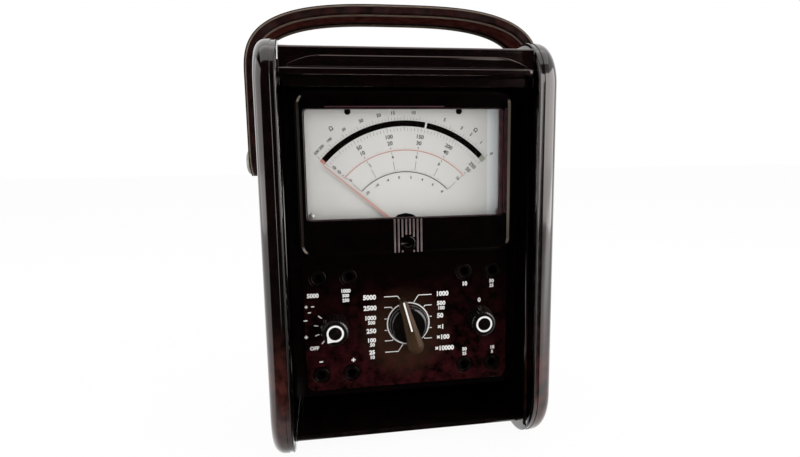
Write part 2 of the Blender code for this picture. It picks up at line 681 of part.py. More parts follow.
def backing_plate():
    outline = rounded_box_outline(
        -BACKING_HALF_WIDTH, BACKING_HALF_WIDTH, BACKING_BOTTOM, BACKING_TOP, WINDOW_CORNER,
        WINDOW_CORNER, 2,
    )
    holes = [circle((0, PIVOT_HEIGHT), STAFF_RADIUS + RUNNING_GAP, SMALL_CIRCLE_SIDES)]
    for x in (-DIAL_SCREW_X, DIAL_SCREW_X):
        holes.append(circle((x, DIAL_SCREW_HEIGHT), DIAL_SCREW_SHANK + GAP, SMALL_CIRCLE_SIDES))
    front_plate("movement_backing_plate", [outline, *holes], BACKING_FRONT, BACKING_BACK, NICKEL)


def pole_pieces():
    for name, side in (("pole_piece_left", -1), ("pole_piece_right", 1)):
        bite = math.acos(POLE_HALF_GAP / POLE_BORE)
        face = arc((0, 0), POLE_BORE, bite, -bite, 2 * ARC_STEPS)
        outline = [(POLE_HALF_GAP, -POLE_HALF_HEIGHT), (POLE_OUTER, -POLE_HALF_HEIGHT)]
        outline += [(POLE_OUTER, POLE_HALF_HEIGHT), (POLE_HALF_GAP, POLE_HALF_HEIGHT)]
        outline += face
        outline = [(side * x, z) for x, z in outline]
        centred_front_plate(name, [outline], MOVEMENT_FRONT, MOVEMENT_BACK, SOFT_IRON)


def magnet():
    inner = POLE_OUTER + GAP
    outline = [
        (-MAGNET_OUTER, -MAGNET_BASE_BOTTOM), (MAGNET_OUTER, -MAGNET_BASE_BOTTOM),
        (MAGNET_OUTER, POLE_HALF_HEIGHT), (inner, POLE_HALF_HEIGHT),
        (inner, -MAGNET_BASE_TOP), (-inner, -MAGNET_BASE_TOP),
        (-inner, POLE_HALF_HEIGHT), (-MAGNET_OUTER, POLE_HALF_HEIGHT),
    ]
    centred_front_plate("horseshoe_magnet", [outline], MOVEMENT_FRONT, MOVEMENT_BACK, MAGNET_STEEL)


def core():
    front = MOVEMENT_MIDDLE - CORE_LENGTH / 2
    back = MOVEMENT_MIDDLE + CORE_LENGTH / 2
    body = turned(
        "iron_core", rod_profile(CORE_RADIUS, -back, -front), (0, FRONT_Y, PIVOT_HEIGHT),
        FACING_FRONT, SOFT_IRON,
    )
    half = POLE_HALF_GAP - RUNNING_GAP
    quarter_length = CORE_LENGTH / 4
    low = PIVOT_HEIGHT - MAGNET_BASE_TOP + GAP
    high = PIVOT_HEIGHT - CORE_RADIUS / 2
    add(body, box(
        "core_key",
        (-half, depth_y(MOVEMENT_MIDDLE - quarter_length), low),
        (half, depth_y(MOVEMENT_MIDDLE + quarter_length), high),
        None, CUTTERS,
    ))


def rear_bridge():
    """A bridge over the poles' rear ends that carries the rear jewel."""
    foot = depth_y(MOVEMENT_BACK + GAP)
    rise = foot + BRIDGE_RISE
    top = rise + BRIDGE_RISE
    foot_inner = POLE_BORE + 2 * COIL_END_THICKNESS
    foot_outer = POLE_OUTER
    outline = [
        (-foot_outer, foot), (-foot_inner, foot), (-foot_inner, rise), (foot_inner, rise),
        (foot_inner, foot), (foot_outer, foot), (foot_outer, top), (-foot_outer, top),
    ]
    bridge = outline_solid(
        "rear_bridge", [outline], BRIDGE_HEIGHT, (0, 0, PIVOT_HEIGHT), LYING_FLAT, BRASS
    )
    bridge_front = MOVEMENT_BACK + GAP + BRIDGE_RISE
    cut(bridge, hole_cutter(
        "rear_jewel", 0, PIVOT_HEIGHT, STAFF_RADIUS + GAP, bridge_front - OVERRUN,
        bridge_front + BRIDGE_RISE + OVERRUN, SMALL_CIRCLE_SIDES,
    ))


def pointer_parts():
    hub = circle((0, 0), POINTER_HUB, SMALL_CIRCLE_SIDES)
    staff_hole = circle((0, 0), STAFF_RADIUS + GAP, SMALL_CIRCLE_SIDES)
    half_root = POINTER_ROOT_WIDTH / 2
    half_tip = POINTER_TIP_WIDTH / 2
    reach = math.acos(half_root / POINTER_HUB)
    blade = [(half_root, POINTER_HUB * math.sin(reach)), (half_tip, POINTER_LENGTH)]
    blade += [(-half_tip, POINTER_LENGTH)]
    ring = arc((0, 0), POINTER_HUB, math.pi - reach, math.pi + reach, ARC_STEPS)
    tail = [(-half_root, -POINTER_TAIL), (half_root, -POINTER_TAIL)]
    other = arc((0, 0), POINTER_HUB, -reach, reach, ARC_STEPS)
    outline = blade + ring + tail + other[:-1]
    back = POINTER_DEPTH + POINTER_THICKNESS
    centred_front_plate(
        "pointer", [outline, staff_hole], POINTER_DEPTH, back, POINTER_RED, -POINTER_HALF_SWING
    )
    coil_half = COIL_INNER_LENGTH / 2 + COIL_END_THICKNESS + GAP
    staffs = (
        ("pivot_staff_front", POINTER_DEPTH - HEAD_HEIGHT, MOVEMENT_MIDDLE - coil_half),
        ("pivot_staff_rear", MOVEMENT_MIDDLE + coil_half, MOVEMENT_BACK + GAP + 2 * BRIDGE_RISE),
    )
    for name, front, back in staffs:
        turned(
            name, rod_profile(STAFF_RADIUS, -back, -front), (0, FRONT_Y, PIVOT_HEIGHT),
            FACING_FRONT, NICKEL, sides=SMALL_CIRCLE_SIDES,
        )


def moving_coil():
    """The coil's frame round the core."""
    half_inner = COIL_INNER_LENGTH / 2
    half_outer = half_inner + COIL_END_THICKNESS
    outer = rounded_box_outline(
        -COIL_OUTER, COIL_OUTER, -half_outer, half_outer, COIL_END_THICKNESS, COIL_END_THICKNESS, 2
    )
    inner = rounded_box_outline(
        -COIL_INNER, COIL_INNER, -half_inner, half_inner, HEAD_HEIGHT, HEAD_HEIGHT, 2
    )
    middle = (0, depth_y(MOVEMENT_MIDDLE), PIVOT_HEIGHT)
    outline_solid(
        "moving_coil", [outer, inner], COIL_HEIGHT, middle, (0, -POINTER_HALF_SWING, 0), COPPER_WIRE
    )


def hairspring(name, depth, hand):
    """A flat spiral round the staff."""
    steps = 10 * HAIRSPRING_TURNS
    points = []
    for i in range(steps + 1):
        share = i / steps
        radius = HAIRSPRING_INNER + (HAIRSPRING_OUTER - HAIRSPRING_INNER) * share
        angle = hand * 2 * math.pi * HAIRSPRING_TURNS * share
        points.append((radius * math.cos(angle), radius * math.sin(angle), 0))
    middle = facing_front_at(0, depth, PIVOT_HEIGHT)
    tube(name, points, HAIRSPRING_WIRE, middle, FACING_FRONT, SPRING_BRONZE)


ADJUST_FRONT = BEZEL_DEPTH + GAP
ADJUST_SLOT_WIDTH = 1.3 * MM
ADJUST_SLOT_DEPTH = 1.5 * MM
ADJUST_PIN_RADIUS = 0.9 * MM
ADJUST_PIN_OFFSET = 2.6 * MM


def zero_adjust_screw():
    """The slotted zero screw with its eccentric pin behind it."""
    head_back = HUB_POCKET_DEPTH + GAP
    profile = [
        (0, -ADJUST_FRONT), (ADJUST_RADIUS - GAP, -ADJUST_FRONT), (ADJUST_RADIUS, -ADJUST_FRONT - GAP),
        (ADJUST_RADIUS, -head_back), (0, -head_back),
    ]
    plug = turned(
        "zero_adjust_screw", profile, (0, FRONT_Y, ADJUST_HEIGHT), FACING_FRONT, KNOB_PLASTIC
    )
    half = ADJUST_SLOT_WIDTH / 2
    slot_back = depth_y(ADJUST_FRONT + ADJUST_SLOT_DEPTH)
    cut(plug, box(
        "adjust_slot",
        (-ADJUST_RADIUS - OVERRUN, depth_y(ADJUST_FRONT) - OVERRUN, ADJUST_HEIGHT - half),
        (ADJUST_RADIUS + OVERRUN, slot_back, ADJUST_HEIGHT + half),
        None, CUTTERS,
    ))
    add(plug, hole_cutter(
        "adjust_pin", 0, ADJUST_HEIGHT - ADJUST_PIN_OFFSET, ADJUST_PIN_RADIUS, head_back - PAD_SINK,
        BACKING_FRONT - GAP, SMALL_CIRCLE_SIDES,
    ))


# Range switch: knob, shaft, detent, wafer and rotor

SHAFT_RADIUS = 3.17 * MM
DETENT_FRONT = PANEL_BACK_DEPTH + GAP
DETENT_THICKNESS = 2.0 * MM
DETENT_RADIUS = 17.0 * MM
BUSHING_SINK = 0.4 * MM
BUSHING_FRONT = FIELD_DEPTH + BUSHING_SINK
RANGE_SKIRT_RADIUS = 10.6 * MM
RANGE_SKIRT_HEIGHT = 3.8 * MM
RANGE_SKIRT_CHAMFER = 0.8 * MM
RANGE_BAR_TIP = 16.0 * MM
RANGE_BAR_TAIL = 15.5 * MM
RANGE_BAR_TAIL_WIDTH = 8.7 * MM
RANGE_BAR_TIP_WIDTH = 4.4 * MM
RANGE_BAR_EDGE = 0.7 * MM
KNOB_BACK_DEPTH = FIELD_DEPTH - RUNNING_GAP
KNOB_CAP = 2.0 * MM
POT_LENGTH = 12.4 * MM
POT_DEPTH = PANEL_BACK_DEPTH + POT_LENGTH
WAFER_STEP = 2.0 * MM
WAFER_DEPTH = POT_DEPTH + WAFER_STEP
WAFER_THICKNESS = 1.6 * MM
WAFER_RADIUS = 23.0 * MM
ROTOR_RADIUS = 12.0 * MM
ROTOR_THICKNESS = 1.2 * MM
ROTOR_LOBE_COUNT = 4
ROTOR_LOBE_STEP = 1.6 * MM
TIE_ROD_X = 19.0 * MM
TIE_ROD_RADIUS = 1.4 * MM
BOARD_STEP = 8.0 * MM
BOARD_DEPTH = WAFER_DEPTH + BOARD_STEP
BOARD_THICKNESS = 1.6 * MM
SHAFT_END_STEP = 2.0 * MM
RANGE_SHAFT_END = BOARD_DEPTH - SHAFT_END_STEP


def range_knob():
    back = KNOB_BACK_DEPTH
    skirt_front = back - RANGE_SKIRT_HEIGHT
    profile = [
        (0, -skirt_front), (RANGE_SKIRT_RADIUS - RANGE_SKIRT_CHAMFER, -skirt_front),
        (RANGE_SKIRT_RADIUS, -skirt_front - RANGE_SKIRT_CHAMFER), (RANGE_SKIRT_RADIUS, -back), (0, -back),
    ]
    turn = (math.pi / 2, RANGE_REST_ANGLE, 0)
    knob = turned("range_knob", profile, (0, FRONT_Y, RANGE_HEIGHT), turn, KNOB_PLASTIC)
    tail = RANGE_BAR_TAIL_WIDTH / 2
    tip = RANGE_BAR_TIP_WIDTH / 2
    quarter = math.pi / 2
    outline = arc((0, RANGE_BAR_TIP - tip), tip, 0, 2 * quarter)
    outline += arc((0, tail - RANGE_BAR_TAIL), tail, 2 * quarter, 4 * quarter, 2 * ARC_STEPS)
    bar_back = skirt_front + RANGE_SKIRT_HEIGHT / 2
    middle = facing_front_at(0, (KNOB_FRONT_DEPTH + bar_back) / 2, RANGE_HEIGHT)
    add(knob, outline_solid(
        "range_knob_bar", [outline], bar_back - KNOB_FRONT_DEPTH, middle, turn, None, RANGE_BAR_EDGE,
        CUTTERS,
    ))
    cut(knob, hole_cutter(
        "range_knob_bore", 0, RANGE_HEIGHT, SHAFT_RADIUS + GAP, KNOB_FRONT_DEPTH + KNOB_CAP,
        KNOB_BACK_DEPTH + OVERRUN, SMALL_CIRCLE_SIDES,
    ))


def shaft(name, x, z, end):
    front = KNOB_FRONT_DEPTH + KNOB_CAP + GAP
    return turned(
        name, rod_profile(SHAFT_RADIUS, -end, -front), (x, FRONT_Y, z), FACING_FRONT, NICKEL,
        sides=SMALL_CIRCLE_SIDES,
    )


def bushed_plate_profile(radius, front, thickness):
    """A plate behind the panel with a bushing that passes through it."""
    bore = SHAFT_RADIUS + GAP
    return [
        (BUSHING_RADIUS, -BUSHING_FRONT), (BUSHING_RADIUS, -front), (radius, -front),
        (radius, -front - thickness), (bore, -front - thickness), (bore, -BUSHING_FRONT),
    ]


def range_switch():
    range_knob()
    shaft("range_switch_shaft", 0, RANGE_HEIGHT, RANGE_SHAFT_END)
    turned(
        "range_detent_plate", bushed_plate_profile(DETENT_RADIUS, DETENT_FRONT, DETENT_THICKNESS),
        (0, FRONT_Y, RANGE_HEIGHT), FACING_FRONT, NICKEL, closed=True,
    )
    hole_radius = TIE_ROD_RADIUS + GAP
    wafer_back = WAFER_DEPTH + WAFER_THICKNESS
    loops = [
        circle((0, RANGE_HEIGHT), WAFER_RADIUS),
        circle((0, RANGE_HEIGHT), ROTOR_RADIUS + RUNNING_GAP),
    ]
    for side in (-1, 1):
        loops.append(circle((side * TIE_ROD_X, RANGE_HEIGHT), hole_radius, SMALL_CIRCLE_SIDES // 2))
    front_plate("range_wafer", loops, WAFER_DEPTH, wafer_back, WAFER_LAMINATE)
    rod_front = DETENT_FRONT + DETENT_THICKNESS + GAP
    for name, side in (("range_tie_rod_left", -1), ("range_tie_rod_right", 1)):
        turned(
            name, rod_profile(TIE_ROD_RADIUS, -(BOARD_DEPTH - GAP), -rod_front),
            (side * TIE_ROD_X, FRONT_Y, RANGE_HEIGHT), FACING_FRONT, NICKEL,
            sides=SMALL_CIRCLE_SIDES // 2,
        )
    range_rotor()


def range_rotor():
    """The rotor disc, its rim stepped in lobes that reach the wafer's contacts."""
    rim = []
    for i in range(2 * CIRCLE_SIDES):
        angle = math.pi * i / CIRCLE_SIDES
        inside = math.sin(ROTOR_LOBE_COUNT * angle) < 0
        radius = ROTOR_RADIUS - (ROTOR_LOBE_STEP if inside else 0)
        rim.append((radius * math.cos(angle), radius * math.sin(angle)))
    bore = circle((0, 0), SHAFT_RADIUS + GAP, SMALL_CIRCLE_SIDES)
    middle_depth = WAFER_DEPTH + WAFER_THICKNESS / 2
    outline_solid(
        "range_rotor", [rim, bore], ROTOR_THICKNESS, facing_front_at(0, middle_depth, RANGE_HEIGHT),
        (math.pi / 2, RANGE_REST_ANGLE, 0), BRASS,
    )


# Function switch and zero-ohms control

SIDE_KNOB_RADIUS = 8.0 * MM
SIDE_KNOB_FRONT_RADIUS = 7.1 * MM
SIDE_KNOB_CHAMFER = 0.9 * MM
SIDE_KNOB_FLUTES = 12
FLUTE_RADIUS = 0.8 * MM
SWITCH_PLATE_THICKNESS = 1.6 * MM
SWITCH_PLATE_RADIUS = 13.0 * MM
SWITCH_POST_X = 10.6 * MM
SWITCH_POST_RADIUS = 1.3 * MM
FUNCTION_WAFER_STEP = 8.4 * MM
FUNCTION_WAFER_DEPTH = PANEL_BACK_DEPTH + FUNCTION_WAFER_STEP
FUNCTION_SHAFT_TAIL = 3.0 * MM
FUNCTION_SHAFT_END = FUNCTION_WAFER_DEPTH + FUNCTION_SHAFT_TAIL
POT_RADIUS = 12.0 * MM
POT_WALL = 1.2 * MM
WIPER_RADIUS = 9.5 * MM
WIPER_THICKNESS = 1.5 * MM


def side_knob(name, x, turn):
    """A round knob with a slight taper and a fluted side."""
    front = KNOB_FRONT_DEPTH
    back = KNOB_BACK_DEPTH
    profile = [
        (0, -front), (SIDE_KNOB_FRONT_RADIUS - SIDE_KNOB_CHAMFER, -front),
        (SIDE_KNOB_FRONT_RADIUS, -front - SIDE_KNOB_CHAMFER), (SIDE_KNOB_RADIUS, -back), (0, -back),
    ]
    rotation = (math.pi / 2, turn, 0)
    knob = turned(name, profile, (x, FRONT_Y, SIDE_KNOB_HEIGHT), rotation, KNOB_PLASTIC)
    bm = bmesh.new()
    length = back - front + 2 * OVERRUN
    for i in range(SIDE_KNOB_FLUTES):
        angle = 2 * math.pi * i / SIDE_KNOB_FLUTES
        flute = bmesh.ops.create_cone(
            bm, cap_ends=True, segments=SMALL_CIRCLE_SIDES // 2, radius1=FLUTE_RADIUS,
            radius2=FLUTE_RADIUS, depth=length,
        )["verts"]
        reach = SIDE_KNOB_RADIUS + FLUTE_RADIUS / 4
        bmesh.ops.translate(bm, vec=(reach * math.cos(angle), reach * math.sin(angle), 0), verts=flute)
    mesh = bpy.data.meshes.new(name + "_flutes")
    bm.to_mesh(mesh)
    bm.free()
    cut(knob, place(
        name + "_flutes", mesh, facing_front_at(x, (front + back) / 2, SIDE_KNOB_HEIGHT), rotation,
        None, CUTTERS,
    ))
    cut(knob, hole_cutter(
        name + "_bore", x, SIDE_KNOB_HEIGHT, SHAFT_RADIUS + GAP, front + KNOB_CAP, back + OVERRUN,
        SMALL_CIRCLE_SIDES,
    ))
    return knob


def function_switch():
    x = -SIDE_KNOB_X
    side_knob("function_knob", x, FUNCTION_REST_ANGLE)
    shaft("function_switch_shaft", x, SIDE_KNOB_HEIGHT, FUNCTION_SHAFT_END)
    plate = turned(
        "function_switch_frame",
        bushed_plate_profile(SWITCH_PLATE_RADIUS, DETENT_FRONT, SWITCH_PLATE_THICKNESS),
        (x, FRONT_Y, SIDE_KNOB_HEIGHT), FACING_FRONT, NICKEL, closed=True,
    )
    for side in (-1, 1):
        add(plate, hole_cutter(
            "function_switch_post", x + side * SWITCH_POST_X, SIDE_KNOB_HEIGHT, SWITCH_POST_RADIUS,
            DETENT_FRONT + SWITCH_PLATE_THICKNESS / 2, FUNCTION_WAFER_DEPTH - GAP,
            SMALL_CIRCLE_SIDES // 2,
        ))
    loops = [
        circle((x, SIDE_KNOB_HEIGHT), SWITCH_PLATE_RADIUS),
        circle((x, SIDE_KNOB_HEIGHT), SHAFT_RADIUS + RUNNING_GAP, SMALL_CIRCLE_SIDES),
    ]
    front_plate(
        "function_wafer", loops, FUNCTION_WAFER_DEPTH, FUNCTION_WAFER_DEPTH + WAFER_THICKNESS,
        WAFER_LAMINATE,
    )


def zero_ohms_control():
    x = SIDE_KNOB_X
    side_knob("zero_ohms_knob", x, 0)
    floor_front = POT_DEPTH - POT_WALL
    wiper_back = floor_front - RUNNING_GAP
    wiper_front = wiper_back - WIPER_THICKNESS
    knob_seat = KNOB_FRONT_DEPTH + KNOB_CAP + GAP
    profile = [
        (0, -knob_seat), (SHAFT_RADIUS, -knob_seat), (SHAFT_RADIUS, -wiper_front),
        (WIPER_RADIUS, -wiper_front), (WIPER_RADIUS, -wiper_back), (0, -wiper_back),
    ]
    turned(
        "zero_ohms_shaft", profile, (x, FRONT_Y, SIDE_KNOB_HEIGHT), FACING_FRONT, NICKEL,
        sides=SMALL_CIRCLE_SIDES,
    )
    bore = SHAFT_RADIUS + GAP
    inner = POT_RADIUS - POT_WALL
    front = DETENT_FRONT
    vent = STAFF_RADIUS
    profile = [
        (BUSHING_RADIUS, -BUSHING_FRONT), (BUSHING_RADIUS, -front), (POT_RADIUS, -front),
        (POT_RADIUS, -POT_DEPTH), (vent, -POT_DEPTH), (vent, -floor_front), (inner, -floor_front),
        (inner, -front - POT_WALL), (bore, -front - POT_WALL), (bore, -BUSHING_FRONT),
    ]
    turned(
        "zero_ohms_potentiometer", profile, (x, FRONT_Y, SIDE_KNOB_HEIGHT), FACING_FRONT, NICKEL,
        closed=True,
    )


# Sockets for the test leads

JACK_SINK = 0.2 * MM
JACK_FRONT = FIELD_DEPTH + JACK_SINK
JACK_MOUTH_RADIUS = 3.1 * MM
JACK_MOUTH_DEPTH = 1.4 * MM
JACK_BORE = 1.98 * MM
JACK_FLANGE_RIM = 1.9 * MM
JACK_FLANGE_RADIUS = JACK_RADIUS + JACK_FLANGE_RIM
JACK_FLANGE_THICKNESS = 1.5 * MM
JACK_TAIL = 11.4 * MM
JACK_BACK = PANEL_BACK_DEPTH + JACK_TAIL


def jacks():
    flange_front = PANEL_BACK_DEPTH + GAP
    flange_back = flange_front + JACK_FLANGE_THICKNESS
    profile = [
        (JACK_MOUTH_RADIUS, -JACK_FRONT), (JACK_RADIUS, -JACK_FRONT), (JACK_RADIUS, -flange_front),
        (JACK_FLANGE_RADIUS, -flange_front), (JACK_FLANGE_RADIUS, -flange_back),
        (JACK_RADIUS, -flange_back), (JACK_RADIUS, -JACK_BACK), (JACK_BORE, -JACK_BACK),
        (JACK_BORE, -JACK_FRONT - JACK_MOUTH_DEPTH),
    ]
    for name, x, z in JACK_PLACES:
        turned(
            name, profile, (x, FRONT_Y, z), FACING_FRONT, JACK_PLASTIC, closed=True, sides=JACK_SIDES,
        )


# Circuit board, resistors and batteries

BOARD_SIDE_MARGIN = 7.0 * MM
BOARD_LOW_MARGIN = 4.5 * MM
BOARD_HIGH_MARGIN = 2.6 * MM
BOARD_HALF_WIDTH = BODY_HALF_WIDTH - BOARD_SIDE_MARGIN
BOARD_BOTTOM = SHELF_TOP + BOARD_LOW_MARGIN
BOARD_TOP = PIVOT_HEIGHT - MAGNET_BASE_BOTTOM - BOARD_HIGH_MARGIN
RESISTOR_RADIUS = 2.3 * MM
RESISTOR_LENGTH = 12.0 * MM
RESISTOR_SHOULDER = 0.6 * MM
RESISTOR_COUNT = 3
RESISTOR_PITCH = 9.0 * MM
RESISTOR_X = -32.0 * MM
CELL_LENGTH = 60.5 * MM
CELL_SHOULDER = 1.2 * MM
CELL_CAP_RADIUS = 4.8 * MM
CELL_CAP_HEIGHT = 1.4 * MM
BLOCK_LENGTH = 48.5 * MM
BLOCK_WIDTH = 26.5 * MM
BLOCK_THICKNESS = 17.5 * MM
BLOCK_EDGE = 1.2 * MM
CELL_RADIUS = 16.5 * MM
TRAY_WALL = 1.5 * MM
TRAY_STEP = 8.0 * MM
TRAY_CLEARANCE = 1.8 * MM
TRAY_BACK = BODY_BACK_DEPTH - BODY_WALL - GAP
TRAY_HALF_WIDTH = 35.0 * MM
CONTACT_THICKNESS = 0.8 * MM
CONTACT_WIDTH = 12.0 * MM


def circuit_board():
    board = rounded_box_outline(
        -BOARD_HALF_WIDTH, BOARD_HALF_WIDTH, BOARD_BOTTOM, BOARD_TOP, WINDOW_CORNER, WINDOW_CORNER, 2
    )
    board_back = BOARD_DEPTH + BOARD_THICKNESS
    front_plate("circuit_board", [board], BOARD_DEPTH, board_back, BOARD_LAMINATE)
    half = RESISTOR_LENGTH / 2
    thin = RESISTOR_RADIUS - RESISTOR_SHOULDER
    profile = [
        (0, half), (thin, half), (RESISTOR_RADIUS, half - RESISTOR_SHOULDER),
        (RESISTOR_RADIUS, RESISTOR_SHOULDER - half), (thin, -half), (0, -half),
    ]
    for index in range(RESISTOR_COUNT):
        height = BOARD_BOTTOM + (index + 1) * RESISTOR_PITCH
        turned(
            f"multiplier_resistor_{index + 1}", profile,
            (RESISTOR_X, depth_y(board_back + GAP + RESISTOR_RADIUS), height), (0, math.pi / 2, 0),
            RESISTOR_BODY, sides=SMALL_CIRCLE_SIDES,
        )


def battery_tray():
    """A back wall with a pocket for the block battery low down and a shelf for the round cell on top."""
    back = depth_y(TRAY_BACK)
    wall = back - TRAY_WALL
    cell_front = wall - 2 * CELL_RADIUS
    block_front = wall - BLOCK_THICKNESS
    z0 = SHELF_TOP + TRAY_STEP
    z1 = z0 + TRAY_WALL
    z2 = z1 + BLOCK_WIDTH + 2 * GAP
    z3 = z2 + TRAY_WALL
    z4 = PIVOT_HEIGHT + POLE_HALF_HEIGHT + TRAY_CLEARANCE
    z5 = z4 + TRAY_WALL
    z6 = z5 + 2 * CELL_RADIUS + 2 * GAP
    z7 = z6 + TRAY_WALL
    outline = [
        (back, z0), (back, z7), (block_front, z7), (block_front, z6), (wall, z6), (wall, z5),
        (cell_front, z5), (cell_front, z4), (wall, z4), (wall, z3), (block_front, z3),
        (block_front, z2), (wall, z2), (wall, z1), (block_front, z1), (block_front, z0),
    ]
    outline_solid(
        "battery_tray", [outline], 2 * TRAY_HALF_WIDTH, (0, 0, 0), FACING_SIDE, TRAY_PLASTIC
    )
    cell_y = wall - GAP - CELL_RADIUS
    cell_z = z5 + GAP + CELL_RADIUS
    half = CELL_LENGTH / 2
    profile = [
        (0, half), (CELL_CAP_RADIUS, half), (CELL_CAP_RADIUS, half - CELL_CAP_HEIGHT),
        (CELL_RADIUS - CELL_SHOULDER, half - CELL_CAP_HEIGHT),
        (CELL_RADIUS, half - CELL_CAP_HEIGHT - CELL_SHOULDER), (CELL_RADIUS, CELL_SHOULDER - half),
        (CELL_RADIUS - CELL_SHOULDER, -half), (0, -half),
    ]
    turned("round_cell", profile, (0, cell_y, cell_z), (0, math.pi / 2, 0), CELL_JACKET)
    block = box(
        "block_battery",
        (-BLOCK_LENGTH / 2, wall - GAP - BLOCK_THICKNESS, z1 + GAP),
        (BLOCK_LENGTH / 2, wall - GAP, z1 + GAP + BLOCK_WIDTH),
        CELL_JACKET,
    )
    edge = block.modifiers.new("edge", "BEVEL")
    edge.width = BLOCK_EDGE
    edge.segments = 2
    for name, side in (("cell_contact_left", -1), ("cell_contact_right", 1)):
        near = side * (half + GAP)
        far = side * (half + GAP + CONTACT_THICKNESS)
        box(
            name,
            (min(near, far), cell_y - CONTACT_WIDTH / 2, z5 + GAP),
            (max(near, far), cell_y + CONTACT_WIDTH / 2, cell_z + CELL_CAP_RADIUS),
            SPRING_BRONZE,
        )


# Roll front: the finger bar, the first slats behind it and the curtain rolled back round the case

CURTAIN_PLAY = 0.45 * MM
CURTAIN_THICKNESS = TRACK_WIDTH - 2 * CURTAIN_PLAY
SLAT_PITCH = 7.9 * MM
SLAT_COUNT = 23
SLAT_GROOVE_WIDTH = 1.6 * MM
SLAT_GROOVE_DEPTH = 1.0 * MM
CURTAIN_START_ANGLE = math.radians(47)
CURTAIN_START = TRACK_ARC_RADIUS * CURTAIN_START_ANGLE
CURTAIN_HALF_WIDTH = CHEEK_INNER_X + TRACK_DEPTH - 2 * GAP
BAR_HALF_WIDTH = CHEEK_INNER_X - RUNNING_GAP
BAR_BOTTOM = TRACK_BEND_HEIGHT - RUNNING_GAP
BAR_SHOE_RISE = 2.6 * MM
BAR_FLANGE_RISE = 3.2 * MM
BAR_CHIN_RISE = 5.2 * MM
BAR_SCOOP_RISE = 8.0 * MM
BAR_GRIP_RISE = 18.0 * MM
BAR_PROUD = 3.6 * MM
BAR_LIP = 0.1 * MM
BAR_SHOE_TOP = TRACK_BEND_HEIGHT + BAR_SHOE_RISE
BAR_FLANGE_TOP = TRACK_BEND_HEIGHT + BAR_FLANGE_RISE
BAR_GRIP_BOTTOM = TRACK_BEND_HEIGHT + BAR_CHIN_RISE
BAR_GRIP_TOP = TRACK_BEND_HEIGHT + BAR_GRIP_RISE
BAR_FRONT_DEPTH = TRACK_INSET - BAR_PROUD
BAR_GRIP_BACK = BAR_FLANGE_FRONT + BAR_LIP
BAR_TOP_ROUND = 2.4 * MM
SCOOP_HEIGHT = 4.8 * MM
SCOOP_BOTTOM = TRACK_BEND_HEIGHT + BAR_SCOOP_RISE
SCOOP_TOP = SCOOP_BOTTOM + SCOOP_HEIGHT
SCOOP_DEPTH = 1.6 * MM
SCOOP_END_MARGIN = 4.0 * MM
LEADING_BOTTOM = BAR_FLANGE_TOP + RUNNING_GAP
LEADING_RISE = 10.4 * MM
LEADING_TOP = TRACK_BEND_HEIGHT + LEADING_RISE
LEADING_FRONT = BAR_GRIP_BACK + RUNNING_GAP
LEADING_STEP = 0.2 * MM
LEADING_BACK = BAR_FLANGE_BACK - LEADING_STEP
LEADING_SLATS = 3
LEADING_GROOVE = 0.5 * MM


def roll_front_curtain():
    """The slatted curtain in the track, from just behind the finger bar to its tail on the back."""
    half = CURTAIN_THICKNESS / 2
    arc_step = TRACK_ARC_LENGTH / ARC_STEPS
    outer = []
    inner = []
    for index in range(SLAT_COUNT):
        start = CURTAIN_START + index * SLAT_PITCH
        outer.append(track_point(start + SLAT_GROOVE_WIDTH / 2, half))
        outer.append(track_point(start + SLAT_PITCH / 2, half))
        outer.append(track_point(start + SLAT_PITCH - SLAT_GROOVE_WIDTH / 2, half))
        outer.append(track_point(start + SLAT_PITCH, half - SLAT_GROOVE_DEPTH))
    end = CURTAIN_START + SLAT_COUNT * SLAT_PITCH
    steps = math.ceil((end - CURTAIN_START) / arc_step)
    for index in range(steps + 1):
        inner.append(track_point(CURTAIN_START + (end - CURTAIN_START) * index / steps, -half))
    outline_solid(
        "roll_front_curtain", [outer + inner[::-1]], 2 * CURTAIN_HALF_WIDTH, (0, 0, 0), FACING_SIDE,
        CURTAIN_PLASTIC,
    )


def roll_front_bar():
    """The finger bar: a grip with a long scoop, a flange behind it and shoes that run in the track."""
    grip_back = depth_y(BAR_GRIP_BACK)
    grip_front = depth_y(BAR_FRONT_DEPTH)
    flange_front = depth_y(BAR_FLANGE_FRONT)
    flange_back = depth_y(BAR_FLANGE_BACK)
    quarter = math.pi / 2
    top = arc(
        (grip_front + BAR_TOP_ROUND, BAR_GRIP_TOP - BAR_TOP_ROUND), BAR_TOP_ROUND, quarter, 2 * quarter
    )
    outline = [
        (flange_front, BAR_BOTTOM), (flange_back, BAR_BOTTOM), (flange_back, BAR_FLANGE_TOP),
        (grip_back, BAR_FLANGE_TOP), (grip_back, BAR_GRIP_TOP), *top,
        (grip_front, SCOOP_BOTTOM - OVERRUN), (grip_front + BAR_TOP_ROUND, BAR_GRIP_BOTTOM),
        (flange_front, BAR_FLANGE_TOP),
    ]
    bar = outline_solid(
        "roll_front_bar", [outline], 2 * BAR_HALF_WIDTH, (0, 0, 0), FACING_SIDE, PHENOLIC
    )
    shoe_front = depth_y(BAR_FLANGE_FRONT) + GAP / 2
    add(bar, box(
        "bar_shoes",
        (-CURTAIN_HALF_WIDTH, shoe_front, BAR_BOTTOM + GAP),
        (CURTAIN_HALF_WIDTH, flange_back - GAP / 2, BAR_SHOE_TOP),
        None, CUTTERS,
    ))
    half = BAR_HALF_WIDTH - SCOOP_END_MARGIN
    rise = SCOOP_TOP - SCOOP_BOTTOM
    scoop = [(-half, SCOOP_BOTTOM), (half, SCOOP_BOTTOM), (half, SCOOP_BOTTOM + rise / 4)]
    scoop += [(half - 2 * rise, SCOOP_TOP), (2 * rise - half, SCOOP_TOP), (-half, SCOOP_BOTTOM + rise / 4)]
    cut(bar, front_plate(
        "bar_scoop", [scoop], BAR_FRONT_DEPTH - OVERRUN, BAR_FRONT_DEPTH + SCOOP_DEPTH, None, 0, CUTTERS
    ))


